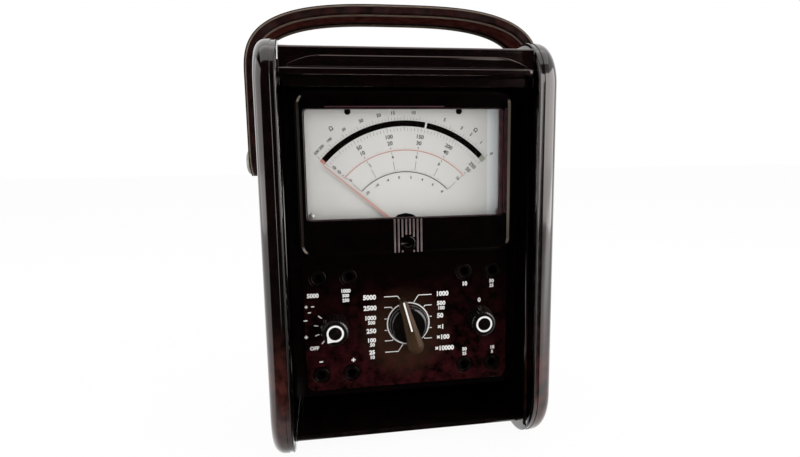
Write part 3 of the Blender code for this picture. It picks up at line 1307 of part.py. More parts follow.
def roll_front_leading_slats():
    front = depth_y(LEADING_FRONT)
    back = depth_y(LEADING_BACK)
    height = (LEADING_TOP - LEADING_BOTTOM) / LEADING_SLATS
    outline = [(back, LEADING_TOP)]
    for index in range(LEADING_SLATS, 0, -1):
        high = LEADING_BOTTOM + index * height
        low = high - height
        outline += [(front, high - LEADING_GROOVE), (front, low + LEADING_GROOVE)]
        if index > 1:
            outline.append((front + LEADING_GROOVE, low))
    outline += [(front + LEADING_GROOVE, LEADING_BOTTOM), (back, LEADING_BOTTOM)]
    outline_solid(
        "roll_front_leading_slats", [outline], 2 * BAR_HALF_WIDTH, (0, 0, 0), FACING_SIDE,
        CURTAIN_PLASTIC,
    )


# Carrying strap and its studs

STRAP_CHANNEL_WIDTH = 16.0 * MM
STRAP_CHANNEL_DEPTH = 1.2 * MM
STRAP_STEPS = 28
STUD_SHANK_RADIUS = 3.0 * MM
STUD_SHOULDER_RADIUS = 6.0 * MM
STUD_HEAD_RADIUS = 7.0 * MM
STUD_HEAD_HEIGHT = 2.4 * MM
STUD_HEAD_ROUND = 0.8 * MM


def strap_middle_line(low):
    """The strap's middle line in X and Z: two upright legs joined by a squared arch."""
    half_span = STRAP_HALF_SPAN - STRAP_THICKNESS / 2
    rise = STRAP_TOP - STRAP_THICKNESS / 2 - STRAP_SHOULDER_START
    power = 2 / STRAP_SQUARENESS
    points = [(-half_span, low)]
    for index in range(STRAP_STEPS + 1):
        angle = math.pi * (1 - index / STRAP_STEPS)
        cosine = math.cos(angle)
        x = math.copysign(abs(cosine) ** power, cosine) * half_span
        points.append((x, STRAP_SHOULDER_START + rise * max(math.sin(angle), 0) ** power))
    points.append((half_span, low))
    return points


def offset_line(points, distance):
    """A line moved to its left by a distance."""
    moved = []
    last = len(points) - 1
    for index, (x, z) in enumerate(points):
        before = points[max(index - 1, 0)]
        after = points[min(index + 1, last)]
        dx = after[0] - before[0]
        dz = after[1] - before[1]
        length = math.hypot(dx, dz)
        moved.append((x - distance * dz / length, z + distance * dx / length))
    return moved


def strap_band(inner_offset, outer_offset, low):
    line = strap_middle_line(low)
    band = offset_line(line, outer_offset) + offset_line(line, inner_offset)[::-1]
    return [(x, z - STRAP_PIVOT_HEIGHT) for x, z in band]


def handle_strap():
    half = STRAP_THICKNESS / 2
    pivot = (0, 0, STRAP_PIVOT_HEIGHT)
    strap = outline_solid(
        "handle_strap", [strap_band(-half, half, STRAP_LOW_END)], STRAP_WIDTH, pivot, FACING_FRONT,
        STRAP_VINYL,
    )
    channel_low = STRAP_PIVOT_HEIGHT + STUD_HEAD_RADIUS + 2 * OVERRUN
    cut(strap, outline_solid(
        "strap_channel", [strap_band(half - STRAP_CHANNEL_DEPTH, half + OVERRUN, channel_low)],
        STRAP_CHANNEL_WIDTH, pivot, FACING_FRONT, None, collection=CUTTERS,
    ))
    reach = STRAP_HALF_SPAN + OVERRUN
    cut(strap, turned(
        "strap_stud_holes", rod_profile(STUD_SHANK_RADIUS + GAP, -reach, reach), pivot,
        (0, math.pi / 2, 0), None, sides=SMALL_CIRCLE_SIDES, collection=CUTTERS,
    ))


def handle_studs():
    cheek_face = CASE_WIDTH / 2 + GAP
    strap_inner = STRAP_HALF_SPAN - STRAP_THICKNESS - GAP
    head_inner = STRAP_HALF_SPAN + GAP
    head_outer = head_inner + STUD_HEAD_HEIGHT
    tip = CASE_WIDTH / 2 - STUD_BORE_DEPTH + GAP
    tail_radius = STUD_BORE_RADIUS - GAP
    profile = [
        (0, head_outer), (STUD_HEAD_RADIUS - 2 * STUD_HEAD_ROUND, head_outer),
        (STUD_HEAD_RADIUS, head_outer - STUD_HEAD_ROUND), (STUD_HEAD_RADIUS, head_inner),
        (STUD_SHANK_RADIUS, head_inner), (STUD_SHANK_RADIUS, strap_inner),
        (STUD_SHOULDER_RADIUS, strap_inner), (STUD_SHOULDER_RADIUS, cheek_face),
        (tail_radius, cheek_face), (tail_radius, tip), (0, tip),
    ]
    for name, side in (("handle_stud_left", -1), ("handle_stud_right", 1)):
        turned(
            name, profile, (0, 0, STRAP_PIVOT_HEIGHT), (0, side * math.pi / 2, 0), NICKEL,
            sides=SMALL_CIRCLE_SIDES,
        )


def build():
    cheek("cheek_left", -1)
    cheek("cheek_right", 1)
    case_body()
    instrument_panel()
    meter_window()
    dial_plate()
    face_screws()
    backing_plate()
    pole_pieces()
    magnet()
    core()
    rear_bridge()
    pointer_parts()
    moving_coil()
    hairspring("hairspring_front", (MOVEMENT_FRONT + MOVEMENT_MIDDLE - COIL_INNER_LENGTH / 2) / 2
               - COIL_END_THICKNESS / 2, 1)
    hairspring("hairspring_rear", (MOVEMENT_BACK + MOVEMENT_MIDDLE + COIL_INNER_LENGTH / 2) / 2
               + COIL_END_THICKNESS / 2, -1)
    zero_adjust_screw()
    range_switch()
    function_switch()
    zero_ohms_control()
    jacks()
    circuit_board()
    battery_tray()
    roll_front_curtain()
    roll_front_bar()
    roll_front_leading_slats()
    handle_strap()
    handle_studs()


build()
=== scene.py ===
"""Looks for an analogue multimeter in a moulded roll-front case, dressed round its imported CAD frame.

Sizes are millimetres until a point is placed. X runs right, depth runs back from the front edges of
the cheeks, Z runs up.
"""
import json
import logging
import math
from dataclasses import dataclass, field
from enum import Enum
from typing import Callable, Iterable, Optional, Sequence, Union

import bmesh
import bpy
from mathutils import Matrix, Vector

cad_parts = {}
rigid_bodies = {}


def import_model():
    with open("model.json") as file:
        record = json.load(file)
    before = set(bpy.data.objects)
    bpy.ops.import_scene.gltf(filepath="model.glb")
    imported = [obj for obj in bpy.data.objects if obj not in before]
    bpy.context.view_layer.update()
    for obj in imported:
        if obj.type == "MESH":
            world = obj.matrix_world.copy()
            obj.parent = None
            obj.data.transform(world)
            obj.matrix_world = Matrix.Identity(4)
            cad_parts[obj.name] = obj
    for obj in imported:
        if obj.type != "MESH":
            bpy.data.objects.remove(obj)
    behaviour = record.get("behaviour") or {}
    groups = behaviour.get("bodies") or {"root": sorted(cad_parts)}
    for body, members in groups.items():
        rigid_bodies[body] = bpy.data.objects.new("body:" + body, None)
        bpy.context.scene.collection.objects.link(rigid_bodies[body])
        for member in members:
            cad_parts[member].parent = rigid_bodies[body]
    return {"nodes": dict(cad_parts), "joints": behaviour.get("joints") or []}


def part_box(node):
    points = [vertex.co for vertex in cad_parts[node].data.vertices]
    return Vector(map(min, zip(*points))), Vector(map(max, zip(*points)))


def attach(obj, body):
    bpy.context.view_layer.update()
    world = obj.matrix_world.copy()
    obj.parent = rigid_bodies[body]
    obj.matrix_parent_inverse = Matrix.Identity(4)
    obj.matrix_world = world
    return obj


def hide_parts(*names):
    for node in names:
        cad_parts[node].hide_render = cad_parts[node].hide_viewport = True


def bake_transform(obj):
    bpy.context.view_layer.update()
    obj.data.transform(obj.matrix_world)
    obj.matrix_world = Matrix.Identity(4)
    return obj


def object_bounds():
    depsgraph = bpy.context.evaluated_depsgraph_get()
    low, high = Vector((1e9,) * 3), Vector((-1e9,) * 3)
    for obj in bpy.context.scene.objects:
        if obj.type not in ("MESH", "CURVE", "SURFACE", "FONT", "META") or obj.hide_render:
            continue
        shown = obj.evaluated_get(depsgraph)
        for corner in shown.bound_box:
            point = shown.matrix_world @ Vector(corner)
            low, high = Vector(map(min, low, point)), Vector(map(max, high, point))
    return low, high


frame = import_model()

LOG = logging.getLogger("multimeter")
CAD_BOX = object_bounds()
MM = 0.001
FRONT_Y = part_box("cheek_left")[0].y
SHARP = math.radians(34)
ROUND_SIDES = 56
CORNER_STEPS = 10

Pair = tuple[float, float]
Point = tuple[float, float, float]
Colour = tuple[float, float, float]
Value = Union[float, int, bool, tuple, bpy.types.NodeSocket, bpy.types.ID]


class Body(Enum):
    """The CAD bodies that pieces ride on."""

    CASE = "case"
    HANDLE = "handle"
    ROLL_FRONT = "roll_front"
    RANGE = "range_selector"
    FUNCTION = "function_selector"
    ZERO_OHMS = "zero_ohms"
    ADJUSTER = "zero_adjuster"
    MOVEMENT = "meter_movement"


class Axis(Enum):
    """The direction that a turned piece's height runs in."""

    INTO_CASE = "depth"
    ACROSS = "x"


@dataclass(frozen=True)
class Box:
    """A CAD node's box at rest, in millimetres."""

    left: float
    right: float
    front: float
    back: float
    bottom: float
    top: float

    @classmethod
    def of(cls, node: str) -> "Box":
        """Reads the box of a CAD node.

        Args:
            node: the node's name.

        Returns:
            The box, with its front and back as depths.
        """
        low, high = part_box(node)
        return cls(
            low.x / MM, high.x / MM, (low.y - FRONT_Y) / MM, (high.y - FRONT_Y) / MM,
            low.z / MM, high.z / MM,
        )


def joint_place(name: str) -> Pair:
    """Where a joint's axis crosses the face.

    Args:
        name: the joint's name.

    Returns:
        Its X and Z.
    """
    found = next(joint for joint in frame["joints"] if joint["name"] == name)
    return found["pos_m"][0] / MM, found["pos_m"][2] / MM


def place(x: float, depth: float, z: float) -> Vector:
    """A point of the row frame in metres, from its place in millimetres."""
    return Vector((x * MM, FRONT_Y + depth * MM, z * MM))


# Node trees


class Nodes:
    """A node tree under construction."""

    def __init__(self, tree: bpy.types.NodeTree) -> None:
        """Wraps a tree that already exists."""
        self.tree = tree

    def add(self, kind: str, inputs: Optional[dict] = None, **settings: object) -> bpy.types.Node:
        """Adds a node.

        Args:
            kind: the node's type.
            inputs: values or sockets for its inputs, by name or number.
            **settings: the node's own properties.

        Returns:
            The node.
        """
        node = self.tree.nodes.new(kind)
        for name, value in settings.items():
            setattr(node, name, value)
        for key, value in (inputs or {}).items():
            self.feed(node.inputs[key], value)
        return node

    def feed(self, socket: bpy.types.NodeSocket, value: Value) -> None:
        """Links a socket to an input, or sets the input's own value."""
        if isinstance(value, bpy.types.NodeSocket):
            self.tree.links.new(value, socket)
        elif isinstance(value, tuple) and len(value) == 3 and socket.type == "RGBA":
            socket.default_value = (*value, 1.0)
        else:
            socket.default_value = value

    def math(self, operation: str, *values: Value) -> bpy.types.NodeSocket:
        """A sum, product or other operation on numbers."""
        node = self.add("ShaderNodeMath", dict(enumerate(values)), operation=operation)
        return node.outputs[0]

    def noise(self, vector: Value, scale: Value, detail: float = 3.0) -> bpy.types.NodeSocket:
        """Smooth noise from 0 to 1 over a vector."""
        inputs = {"Vector": vector, "Scale": scale, "Detail": detail}
        return self.add("ShaderNodeTexNoise", inputs).outputs[0]

    def remap(self, value: Value, low: Value, high: Value, start: Value, end: Value) -> bpy.types.NodeSocket:
        """Takes a value from one range to another and clamps it there."""
        inputs = {0: value, 1: low, 2: high, 3: start, 4: end}
        return self.add("ShaderNodeMapRange", inputs).outputs[0]

    def blend(self, share: Value, first: Value, second: Value) -> bpy.types.NodeSocket:
        """Mixes two colours."""
        node = self.add("ShaderNodeMix", data_type="RGBA")
        for socket, value in zip((node.inputs[0], node.inputs[6], node.inputs[7]), (share, first, second)):
            self.feed(socket, value)
        return node.outputs[2]


class Group(Nodes):
    """A node group with named sockets, for shaders or geometry."""

    def __init__(self, name: str, kind: str, inputs: dict[str, tuple], outputs: dict[str, str]) -> None:
        """Starts a group.

        Args:
            name: the group's name.
            kind: its tree type.
            inputs: socket type and starting value of each input.
            outputs: socket type of each output.
        """
        super().__init__(bpy.data.node_groups.new(name, kind))
        self.ids: dict[str, str] = {}
        for label, (socket, value) in inputs.items():
            item = self.tree.interface.new_socket(name=label, in_out="INPUT", socket_type=socket)
            if value is not None:
                item.default_value = value
            self.ids[label] = item.identifier
        for label, socket in outputs.items():
            self.tree.interface.new_socket(name=label, in_out="OUTPUT", socket_type=socket)
        self.entry = self.tree.nodes.new("NodeGroupInput").outputs
        self.exit = self.tree.nodes.new("NodeGroupOutput").inputs


SHADER_TREE = "ShaderNodeTree"
NUMBER = "NodeSocketFloat"
WHOLE = "NodeSocketInt"
VECTOR = "NodeSocketVector"
PAINT = "NodeSocketColor"
BLACK = (0.0, 0.0, 0.0, 1.0)


def mottle_group() -> Group:
    """Cloudy change between a colour and its tint, as in moulded phenolic and old paint."""
    inputs = {
        "Vector": (VECTOR, None), "Colour": (PAINT, BLACK), "Tint": (PAINT, BLACK),
        "Scale": (NUMBER, 30.0), "Amount": (NUMBER, 0.5),
    }
    group = Group("mottle", SHADER_TREE, inputs, {"Colour": PAINT})
    cloud = group.noise(group.entry["Vector"], group.entry["Scale"], 4.0)
    share = group.math("MULTIPLY", group.remap(cloud, 0.35, 0.65, 0.0, 1.0), group.entry["Amount"])
    group.feed(group.exit["Colour"], group.blend(share, group.entry["Colour"], group.entry["Tint"]))
    return group


def handling_group() -> Group:
    """Gloss that is uneven where hands have rubbed and dulled a surface."""
    inputs = {
        "Vector": (VECTOR, None), "Roughness": (NUMBER, 0.2), "Spread": (NUMBER, 0.1),
        "Scale": (NUMBER, 40.0),
    }
    group = Group("handling", SHADER_TREE, inputs, {"Roughness": NUMBER})
    broad = group.noise(group.entry["Vector"], group.entry["Scale"], 3.0)
    fine_scale = group.math("MULTIPLY", group.entry["Scale"], 9.0)
    fine = group.noise(group.entry["Vector"], fine_scale, 2.0)
    mixed = group.math("ADD", group.math("MULTIPLY", broad, 0.7), group.math("MULTIPLY", fine, 0.3))
    centred = group.math("SUBTRACT", mixed, 0.5)
    change = group.math("MULTIPLY", centred, group.math("MULTIPLY", group.entry["Spread"], 2.0))
    total = group.math("ADD", group.entry["Roughness"], change)
    group.feed(group.exit["Roughness"], group.remap(total, 0.0, 1.0, 0.02, 1.0))
    return group


def grain_group() -> Group:
    """Fine surface grain with a slow ripple, as a height."""
    inputs = {"Vector": (VECTOR, None), "Scale": (NUMBER, 900.0), "Ripple": (NUMBER, 0.3)}
    group = Group("grain", SHADER_TREE, inputs, {"Height": NUMBER})
    fine = group.noise(group.entry["Vector"], group.entry["Scale"], 2.0)
    slow_scale = group.math("MULTIPLY", group.entry["Scale"], 0.08)
    slow = group.noise(group.entry["Vector"], slow_scale, 1.0)
    ripple = group.math("MULTIPLY", slow, group.entry["Ripple"])
    group.feed(group.exit["Height"], group.math("ADD", fine, ripple))
    return group


def dust_group() -> Group:
    """Thin dust on surfaces that face up in the piece's own frame."""
    inputs = {
        "Vector": (VECTOR, None), "Facing": (VECTOR, None), "Colour": (PAINT, BLACK),
        "Dust": (PAINT, BLACK), "Amount": (NUMBER, 0.1),
    }
    group = Group("dust", SHADER_TREE, inputs, {"Colour": PAINT})
    upward = group.add("ShaderNodeSeparateXYZ", {0: group.entry["Facing"]}).outputs["Z"]
    flat = group.remap(upward, 0.35, 1.0, 0.0, 1.0)
    speck = group.remap(group.noise(group.entry["Vector"], 220.0, 5.0), 0.42, 0.7, 0.15, 1.0)
    share = group.math("MULTIPLY", group.math("MULTIPLY", flat, speck), group.entry["Amount"])
    group.feed(group.exit["Colour"], group.blend(share, group.entry["Colour"], group.entry["Dust"]))
    return group


def wear_group() -> Group:
    """Rubbed outer edges, broken up by noise."""
    inputs = {
        "Vector": (VECTOR, None), "Colour": (PAINT, BLACK), "Worn": (PAINT, BLACK),
        "Amount": (NUMBER, 0.3),
    }
    group = Group("edge_wear", SHADER_TREE, inputs, {"Colour": PAINT, "Mask": NUMBER})
    edge = group.remap(group.add("ShaderNodeNewGeometry").outputs["Pointiness"], 0.51, 0.58, 0.0, 1.0)
    patch = group.remap(group.noise(group.entry["Vector"], 160.0, 4.0), 0.4, 0.62, 0.0, 1.0)
    mask = group.math("MULTIPLY", group.math("MULTIPLY", edge, patch), group.entry["Amount"])
    group.feed(group.exit["Mask"], mask)
    group.feed(group.exit["Colour"], group.blend(mask, group.entry["Colour"], group.entry["Worn"]))
    return group


MOTTLE = mottle_group()
HANDLING = handling_group()
GRAIN = grain_group()
DUST = dust_group()
WEAR = wear_group()


class Shader(Nodes):
    """A material's own nodes round one Principled shader."""

    def __init__(self, name: str) -> None:
        """Starts a material."""
        self.material = bpy.data.materials.new(name)
        self.material.use_nodes = True
        super().__init__(self.material.node_tree)
        self.surface = self.tree.nodes["Principled BSDF"]
        coordinates = self.add("ShaderNodeTexCoord")
        self.vector = coordinates.outputs["Object"]
        self.facing = coordinates.outputs["Normal"]

    def group(self, group: Group, output: str, **inputs: Value) -> bpy.types.NodeSocket:
        """Places a shared group.

        Args:
            group: the group to place.
            output: the output that is wanted.
            **inputs: values or sockets by input name.

        Returns:
            That output's socket.
        """
        node = self.add("ShaderNodeGroup", node_tree=group.tree)
        for name, value in inputs.items():
            self.feed(node.inputs[name], value)
        return node.outputs[output]

    def set(self, **values: Value) -> None:
        """Sets inputs of the Principled shader, with spaces for underscores."""
        for name, value in values.items():
            self.feed(self.surface.inputs[name.replace("_", " ")], value)

    def bump(self, height: bpy.types.NodeSocket, depth: float) -> None:
        """Raises the surface by a height, with its depth in millimetres."""
        inputs = {"Strength": 1.0, "Distance": depth * MM, "Height": height}
        self.set(Normal=self.add("ShaderNodeBump", inputs).outputs[0])


# Finishes


@dataclass(frozen=True)
class Moulding:
    """Moulded phenolic, vinyl or rubber."""

    name: str
    colour: Colour
    tint: Colour
    roughness: float
    spread: float = 0.08
    mottle_scale: float = 45.0
    mottle: float = 0.6
    grain_scale: float = 1400.0
    grain_depth: float = 0.01
    ripple: float = 0.4
    coat: float = 0.0
    shine: float = 0.5
    shine_tint: Colour = (1.0, 1.0, 1.0)
    dust: float = 0.06
    wear: float = 0.25
    worn: Colour = (0.09, 0.06, 0.05)
    # Share of the tint low down and the two heights it fades between: the colour grows lighter and redder low down,
    # as painted light.
    foot: Optional[Point] = None
    # The tint stays off faces nearer the middle than this, as painted shade on the cheeks' inner faces.
    inner: float = -1.0
    # Share of the tint on the outer faces.
    flank: float = 0.0
    # A ring of brown colour round a point, fading out between two distances: a painted sheen.
    painted_sheen_ring: Optional[tuple[Point, Pair, Colour]] = None

    def make(self) -> bpy.types.Material:
        """Builds the material."""
        shader = Shader(self.name)
        vector = shader.vector
        amount: Value = self.mottle
        # The tint is stronger low down (painted light) and kept off the inner faces (painted shade).
        if self.foot is not None:
            share, low, high = self.foot
            spot = shader.add("ShaderNodeSeparateXYZ", {0: vector}).outputs
            away = shader.math("ABSOLUTE", spot["X"])
            amount = shader.math(
                "MULTIPLY", shader.remap(spot["Z"], low, high, share, self.mottle),
                shader.remap(away, self.inner, self.inner + 0.002, 0.0, 1.0),
            )
            amount = shader.math("MAXIMUM", amount, shader.remap(away, 0.0725, 0.0745, 0.0, self.flank))
        colour = shader.group(
            MOTTLE, "Colour", Vector=vector, Colour=self.colour, Tint=self.tint,
            Scale=self.mottle_scale, Amount=amount,
        )
        # A brown ring of colour round a point: painted sheen.
        if self.painted_sheen_ring is not None:
            centre, (near, far), tone = self.painted_sheen_ring
            away = shader.add("ShaderNodeVectorMath", {0: vector, 1: centre}, operation="DISTANCE")
            colour = shader.blend(shader.remap(away.outputs["Value"], near, far, 0.6, 0.0), colour, (*tone, 1.0))
        colour = shader.group(
            WEAR, "Colour", Vector=vector, Colour=colour, Worn=self.worn, Amount=self.wear
        )
        colour = shader.group(
            DUST, "Colour", Vector=vector, Facing=shader.facing, Colour=colour,
            Dust=(0.32, 0.30, 0.28), Amount=self.dust,
        )
        roughness = shader.group(
            HANDLING, "Roughness", Vector=vector, Roughness=self.roughness, Spread=self.spread,
            Scale=self.mottle_scale,
        )
        height = shader.group(GRAIN, "Height", Vector=vector, Scale=self.grain_scale, Ripple=self.ripple)
        shader.bump(height, self.grain_depth)
        shader.set(
            Base_Color=colour, Roughness=roughness, Coat_Weight=self.coat, Coat_Roughness=0.06,
            Specular_IOR_Level=self.shine, Specular_Tint=self.shine_tint,
        )
        return shader.material


@dataclass(frozen=True)
class Metal:
    """Plated, cast or machined metal."""

    name: str
    colour: Colour
    tint: Colour
    roughness: float
    spread: float = 0.12
    scale: float = 120.0
    grain_depth: float = 0.006
    stretch: Point = (1.0, 1.0, 1.0)

    def make(self) -> bpy.types.Material:
        """Builds the material."""
        shader = Shader(self.name)
        drawn = shader.add(
            "ShaderNodeMapping", {"Vector": shader.vector, "Scale": self.stretch}
        ).outputs[0]
        colour = shader.group(
            MOTTLE, "Colour", Vector=drawn, Colour=self.colour, Tint=self.tint, Scale=self.scale,
            Amount=0.8,
        )
        roughness = shader.group(
            HANDLING, "Roughness", Vector=drawn, Roughness=self.roughness, Spread=self.spread,
            Scale=self.scale,
        )
        height = shader.group(GRAIN, "Height", Vector=drawn, Scale=self.scale * 12, Ripple=0.2)
        shader.bump(height, self.grain_depth)
        shader.set(Base_Color=colour, Roughness=roughness, Metallic=1.0)
        return shader.material


@dataclass(frozen=True)
class Coating:
    """Paint, printing ink, paper or lacquer: a flat coat with slight ageing."""

    name: str
    colour: Colour
    tint: Colour
    roughness: float
    scale: float = 60.0
    mottle: float = 0.4
    grain_scale: float = 2600.0
    grain_depth: float = 0.004
    shine: float = 0.12

    def make(self) -> bpy.types.Material:
        """Builds the material."""
        shader = Shader(self.name)
        colour = shader.group(
            MOTTLE, "Colour", Vector=shader.vector, Colour=self.colour, Tint=self.tint,
            Scale=self.scale, Amount=self.mottle,
        )
        roughness = shader.group(
            HANDLING, "Roughness", Vector=shader.vector, Roughness=self.roughness, Spread=0.06,
            Scale=self.scale,
        )
        height = shader.group(GRAIN, "Height", Vector=shader.vector, Scale=self.grain_scale, Ripple=0.2)
        shader.bump(height, self.grain_depth)
        shader.set(Base_Color=colour, Roughness=roughness, Specular_IOR_Level=self.shine)
        return shader.material


@dataclass(frozen=True)
class Pane:
    """The clear window: glass that lets the lamps through."""

    name: str
    colour: Colour = (0.985, 0.99, 0.985)
    ior: float = 1.49

    def make(self) -> bpy.types.Material:
        """Builds the material."""
        shader = Shader(self.name)
        roughness = shader.group(
            HANDLING, "Roughness", Vector=shader.vector, Roughness=0.02, Spread=0.01, Scale=60.0
        )
        shader.set(Base_Color=self.colour, Roughness=roughness, IOR=self.ior, Transmission_Weight=1.0)
        path = shader.add("ShaderNodeLightPath")
        passing = shader.math(
            "MAXIMUM", path.outputs["Is Shadow Ray"], path.outputs["Is Diffuse Ray"]
        )
        clear = shader.add("ShaderNodeBsdfTransparent", {0: self.colour})
        mix = shader.add("ShaderNodeMixShader", {0: passing, 1: shader.surface.outputs[0], 2: clear.outputs[0]})
        output = shader.tree.nodes["Material Output"]
        shader.feed(output.inputs["Surface"], mix.outputs[0])
        return shader.material


class Finish(Enum):
    """Every finish on the instrument."""

    PHENOLIC = Moulding(
        "phenolic", (0.0010, 0.0005, 0.0005), (0.0064, 0.0014, 0.0013), 0.10, spread=0.05,
        mottle_scale=150.0, shine_tint=(1.0, 0.93, 0.91), dust=0.006, wear=0.02, coat=0.8, shine=0.7,
    )
    # Red-brown tint strong low down and kept off the inner faces: painted light on the lower cheeks, painted shade
    # on their inner faces.
    CHEEK = Moulding(
        "cheek", (0.0012, 0.0005, 0.0005), (0.052, 0.0125, 0.0095), 0.10, spread=0.06,
        mottle_scale=170.0, mottle=0.06, foot=(0.95, 0.050, 0.080), inner=0.0638, flank=0.4,
        grain_depth=0.004, ripple=0.2, shine_tint=(1.0, 0.90, 0.86), dust=0.006, wear=0.02, coat=0.7,
        shine=0.7,
    )
    ROLL = Moulding(
        "roll_bar", (0.0007, 0.0003, 0.0003), (0.012, 0.0016, 0.0020), 0.10, spread=0.04,
        mottle_scale=300.0, mottle=0.22, shine_tint=(1.0, 0.74, 0.66), dust=0.0, wear=0.0, coat=0.6,
        shine=1.0,
    )
    PANEL = Moulding(
        "panel", (0.0006, 0.0003, 0.0003), (0.0030, 0.0006, 0.0008), 0.11, spread=0.04,
        mottle_scale=160.0, grain_scale=900.0, grain_depth=0.004, shine_tint=(1.0, 0.86, 0.84),
        wear=0.0, dust=0.0, coat=0.1, shine=0.3,
    )
    BEAD = Moulding(
        "bezel_bead", (0.0009, 0.0005, 0.0005), (0.0034, 0.0010, 0.0011), 0.15, spread=0.05,
        shine_tint=(1.0, 0.84, 0.68), wear=0.0, dust=0.0, shine=0.62,
    )
    # Red tint growing low down and a brown ring round the range knob: painted sheen on the control field.
    FIELD = Moulding(
        "field", (0.0012, 0.0004, 0.0005), (0.033, 0.0044, 0.0060), 0.155, spread=0.05,
        mottle_scale=230.0, mottle=0.03, foot=(0.75, 0.048, 0.098), grain_scale=700.0,
        painted_sheen_ring=((-0.002, -0.037, 0.064), (0.014, 0.027), (0.034, 0.0165, 0.0095)),
        grain_depth=0.02, shine=0.17, shine_tint=(1.0, 0.76, 0.60), wear=0.0, dust=0.0,
    )
    # Pinkish grey ribs with paler worn edges: painted highlight for the flutes catching light.
    LIT_RIB = Moulding(
        "rib_painted_highlight", (0.115, 0.080, 0.080), (0.20, 0.150, 0.150), 0.30, mottle_scale=300.0, grain_depth=0.01,
        wear=0.2, worn=(0.35, 0.30, 0.30), dust=0.02,
    )
    CURTAIN = Moulding(
        "curtain", (0.0014, 0.0008, 0.0008), (0.0044, 0.0020, 0.0018), 0.20, grain_scale=1100.0,
        grain_depth=0.012, wear=0.03, dust=0.01, shine=0.25,
    )
    STRAP = Moulding(
        "strap", (0.0036, 0.0014, 0.0013), (0.034, 0.0075, 0.0068), 0.62, spread=0.10,
        mottle_scale=150.0, grain_scale=620.0, grain_depth=0.03, shine_tint=(1.0, 0.86, 0.82), wear=0.35,
        shine=0.06, dust=0.0, worn=(0.05, 0.036, 0.030),
    )
    KNOB = Moulding(
        "knob", (0.0020, 0.0012, 0.0012), (0.0056, 0.0032, 0.0030), 0.12, spread=0.07,
        grain_depth=0.006, dust=0.02, wear=0.08, coat=0.5,
    )
    BAR = Moulding(
        "bar_knob", (0.026, 0.0135, 0.0070), (0.052, 0.026, 0.012), 0.30, spread=0.10, mottle_scale=90.0,
        shine=0.35, shine_tint=(1.0, 0.74, 0.54), dust=0.0, wear=0.10,
    )
    SOCKET = Moulding(
        "jack", (0.0012, 0.0007, 0.0008), (0.0034, 0.0014, 0.0018), 0.18, dust=0.0, wear=0.04, shine=0.18,
        shine_tint=(1.0, 0.72, 0.74),
    )
    # Reddish colour for the window opening's wall and thin strips on the bezel beside and above the window: painted
    # highlights.
    RED_GLINT = Moulding(
        "painted_glints", (0.055, 0.0060, 0.0150), (0.020, 0.0040, 0.0050), 0.5, mottle_scale=260.0, mottle=0.9,
        wear=0.0, dust=0.0,
    )
    # Tan piping and edge beads on the strap: painted highlights along its edges.
    PIPING_HIGHLIGHT = Moulding("strap_piping_painted_highlight", (0.17, 0.125, 0.090), (0.085, 0.050, 0.034), 0.42, mottle_scale=150.0)
    INLAY = Moulding(
        "strap_inlay", (0.150, 0.040, 0.032), (0.060, 0.014, 0.012), 0.75, mottle_scale=160.0,
        mottle=0.9, shine=0.0, wear=0.0, dust=0.0,
    )
    TRAY = Moulding("tray", (0.030, 0.030, 0.032), (0.055, 0.055, 0.055), 0.45)
    NICKEL = Metal("nickel", (0.72, 0.70, 0.67), (0.55, 0.53, 0.50), 0.24)
    STUD = Metal("stud", (0.36, 0.37, 0.33), (0.25, 0.25, 0.22), 0.42)
    # Nearly black metal; on the socket sleeves it is painted shade inside the holes.
    TARNISH_AND_SHADE = Metal("tarnished_and_shaded", (0.020, 0.018, 0.018), (0.010, 0.009, 0.009), 0.42)
    BRASS = Metal("brass", (0.72, 0.53, 0.26), (0.55, 0.38, 0.18), 0.30)
    MAGNET = Metal("magnet", (0.32, 0.32, 0.34), (0.20, 0.20, 0.22), 0.48, grain_depth=0.03)
    SOFT_IRON = Metal("soft_iron", (0.45, 0.44, 0.43), (0.34, 0.33, 0.32), 0.42, stretch=(1.0, 9.0, 1.0))
    COPPER = Metal("copper", (0.70, 0.32, 0.16), (0.52, 0.20, 0.10), 0.33, stretch=(1.0, 40.0, 1.0))
    SCREW = Metal("screw", (0.66, 0.65, 0.62), (0.50, 0.49, 0.46), 0.55)
    DIAL = Coating("dial", (0.69, 0.671, 0.654), (0.64, 0.621, 0.603), 0.5, scale=28.0)
    # Paler, cooler white for a strip down the dial's right edge: painted light.
    DIAL_PAINTED_LIGHT = Coating("dial_painted_light", (0.84, 0.855, 0.87), (0.80, 0.815, 0.83), 0.5, scale=28.0, shine=0.0)
    POINTER = Coating("pointer", (0.62, 0.36, 0.32), (0.50, 0.26, 0.22), 0.45)
    LAMINATE = Coating("laminate", (0.36, 0.22, 0.11), (0.24, 0.13, 0.06), 0.5, scale=180.0)
    RESISTOR = Coating("resistor", (0.45, 0.30, 0.18), (0.34, 0.21, 0.12), 0.45, scale=300.0)
    CELL = Coating("cell", (0.10, 0.16, 0.30), (0.06, 0.10, 0.22), 0.35)
    WHITE_INK = Coating("white_ink", (0.80, 0.79, 0.77), (0.62, 0.60, 0.58), 0.45, scale=240.0)
    BLACK_INK = Coating("black_ink", (0.0020, 0.0012, 0.0011), (0.0090, 0.0060, 0.0052), 0.6, scale=240.0, shine=0.0)
    RED_INK = Coating("red_ink", (0.52, 0.22, 0.19), (0.60, 0.32, 0.28), 0.5, scale=240.0)
    GREY_INK = Coating("grey_ink", (0.33, 0.33, 0.28), (0.42, 0.42, 0.37), 0.5, scale=240.0)
    WINDOW = Pane("window")


MATERIALS = {finish: finish.value.make() for finish in Finish}


# Outlines


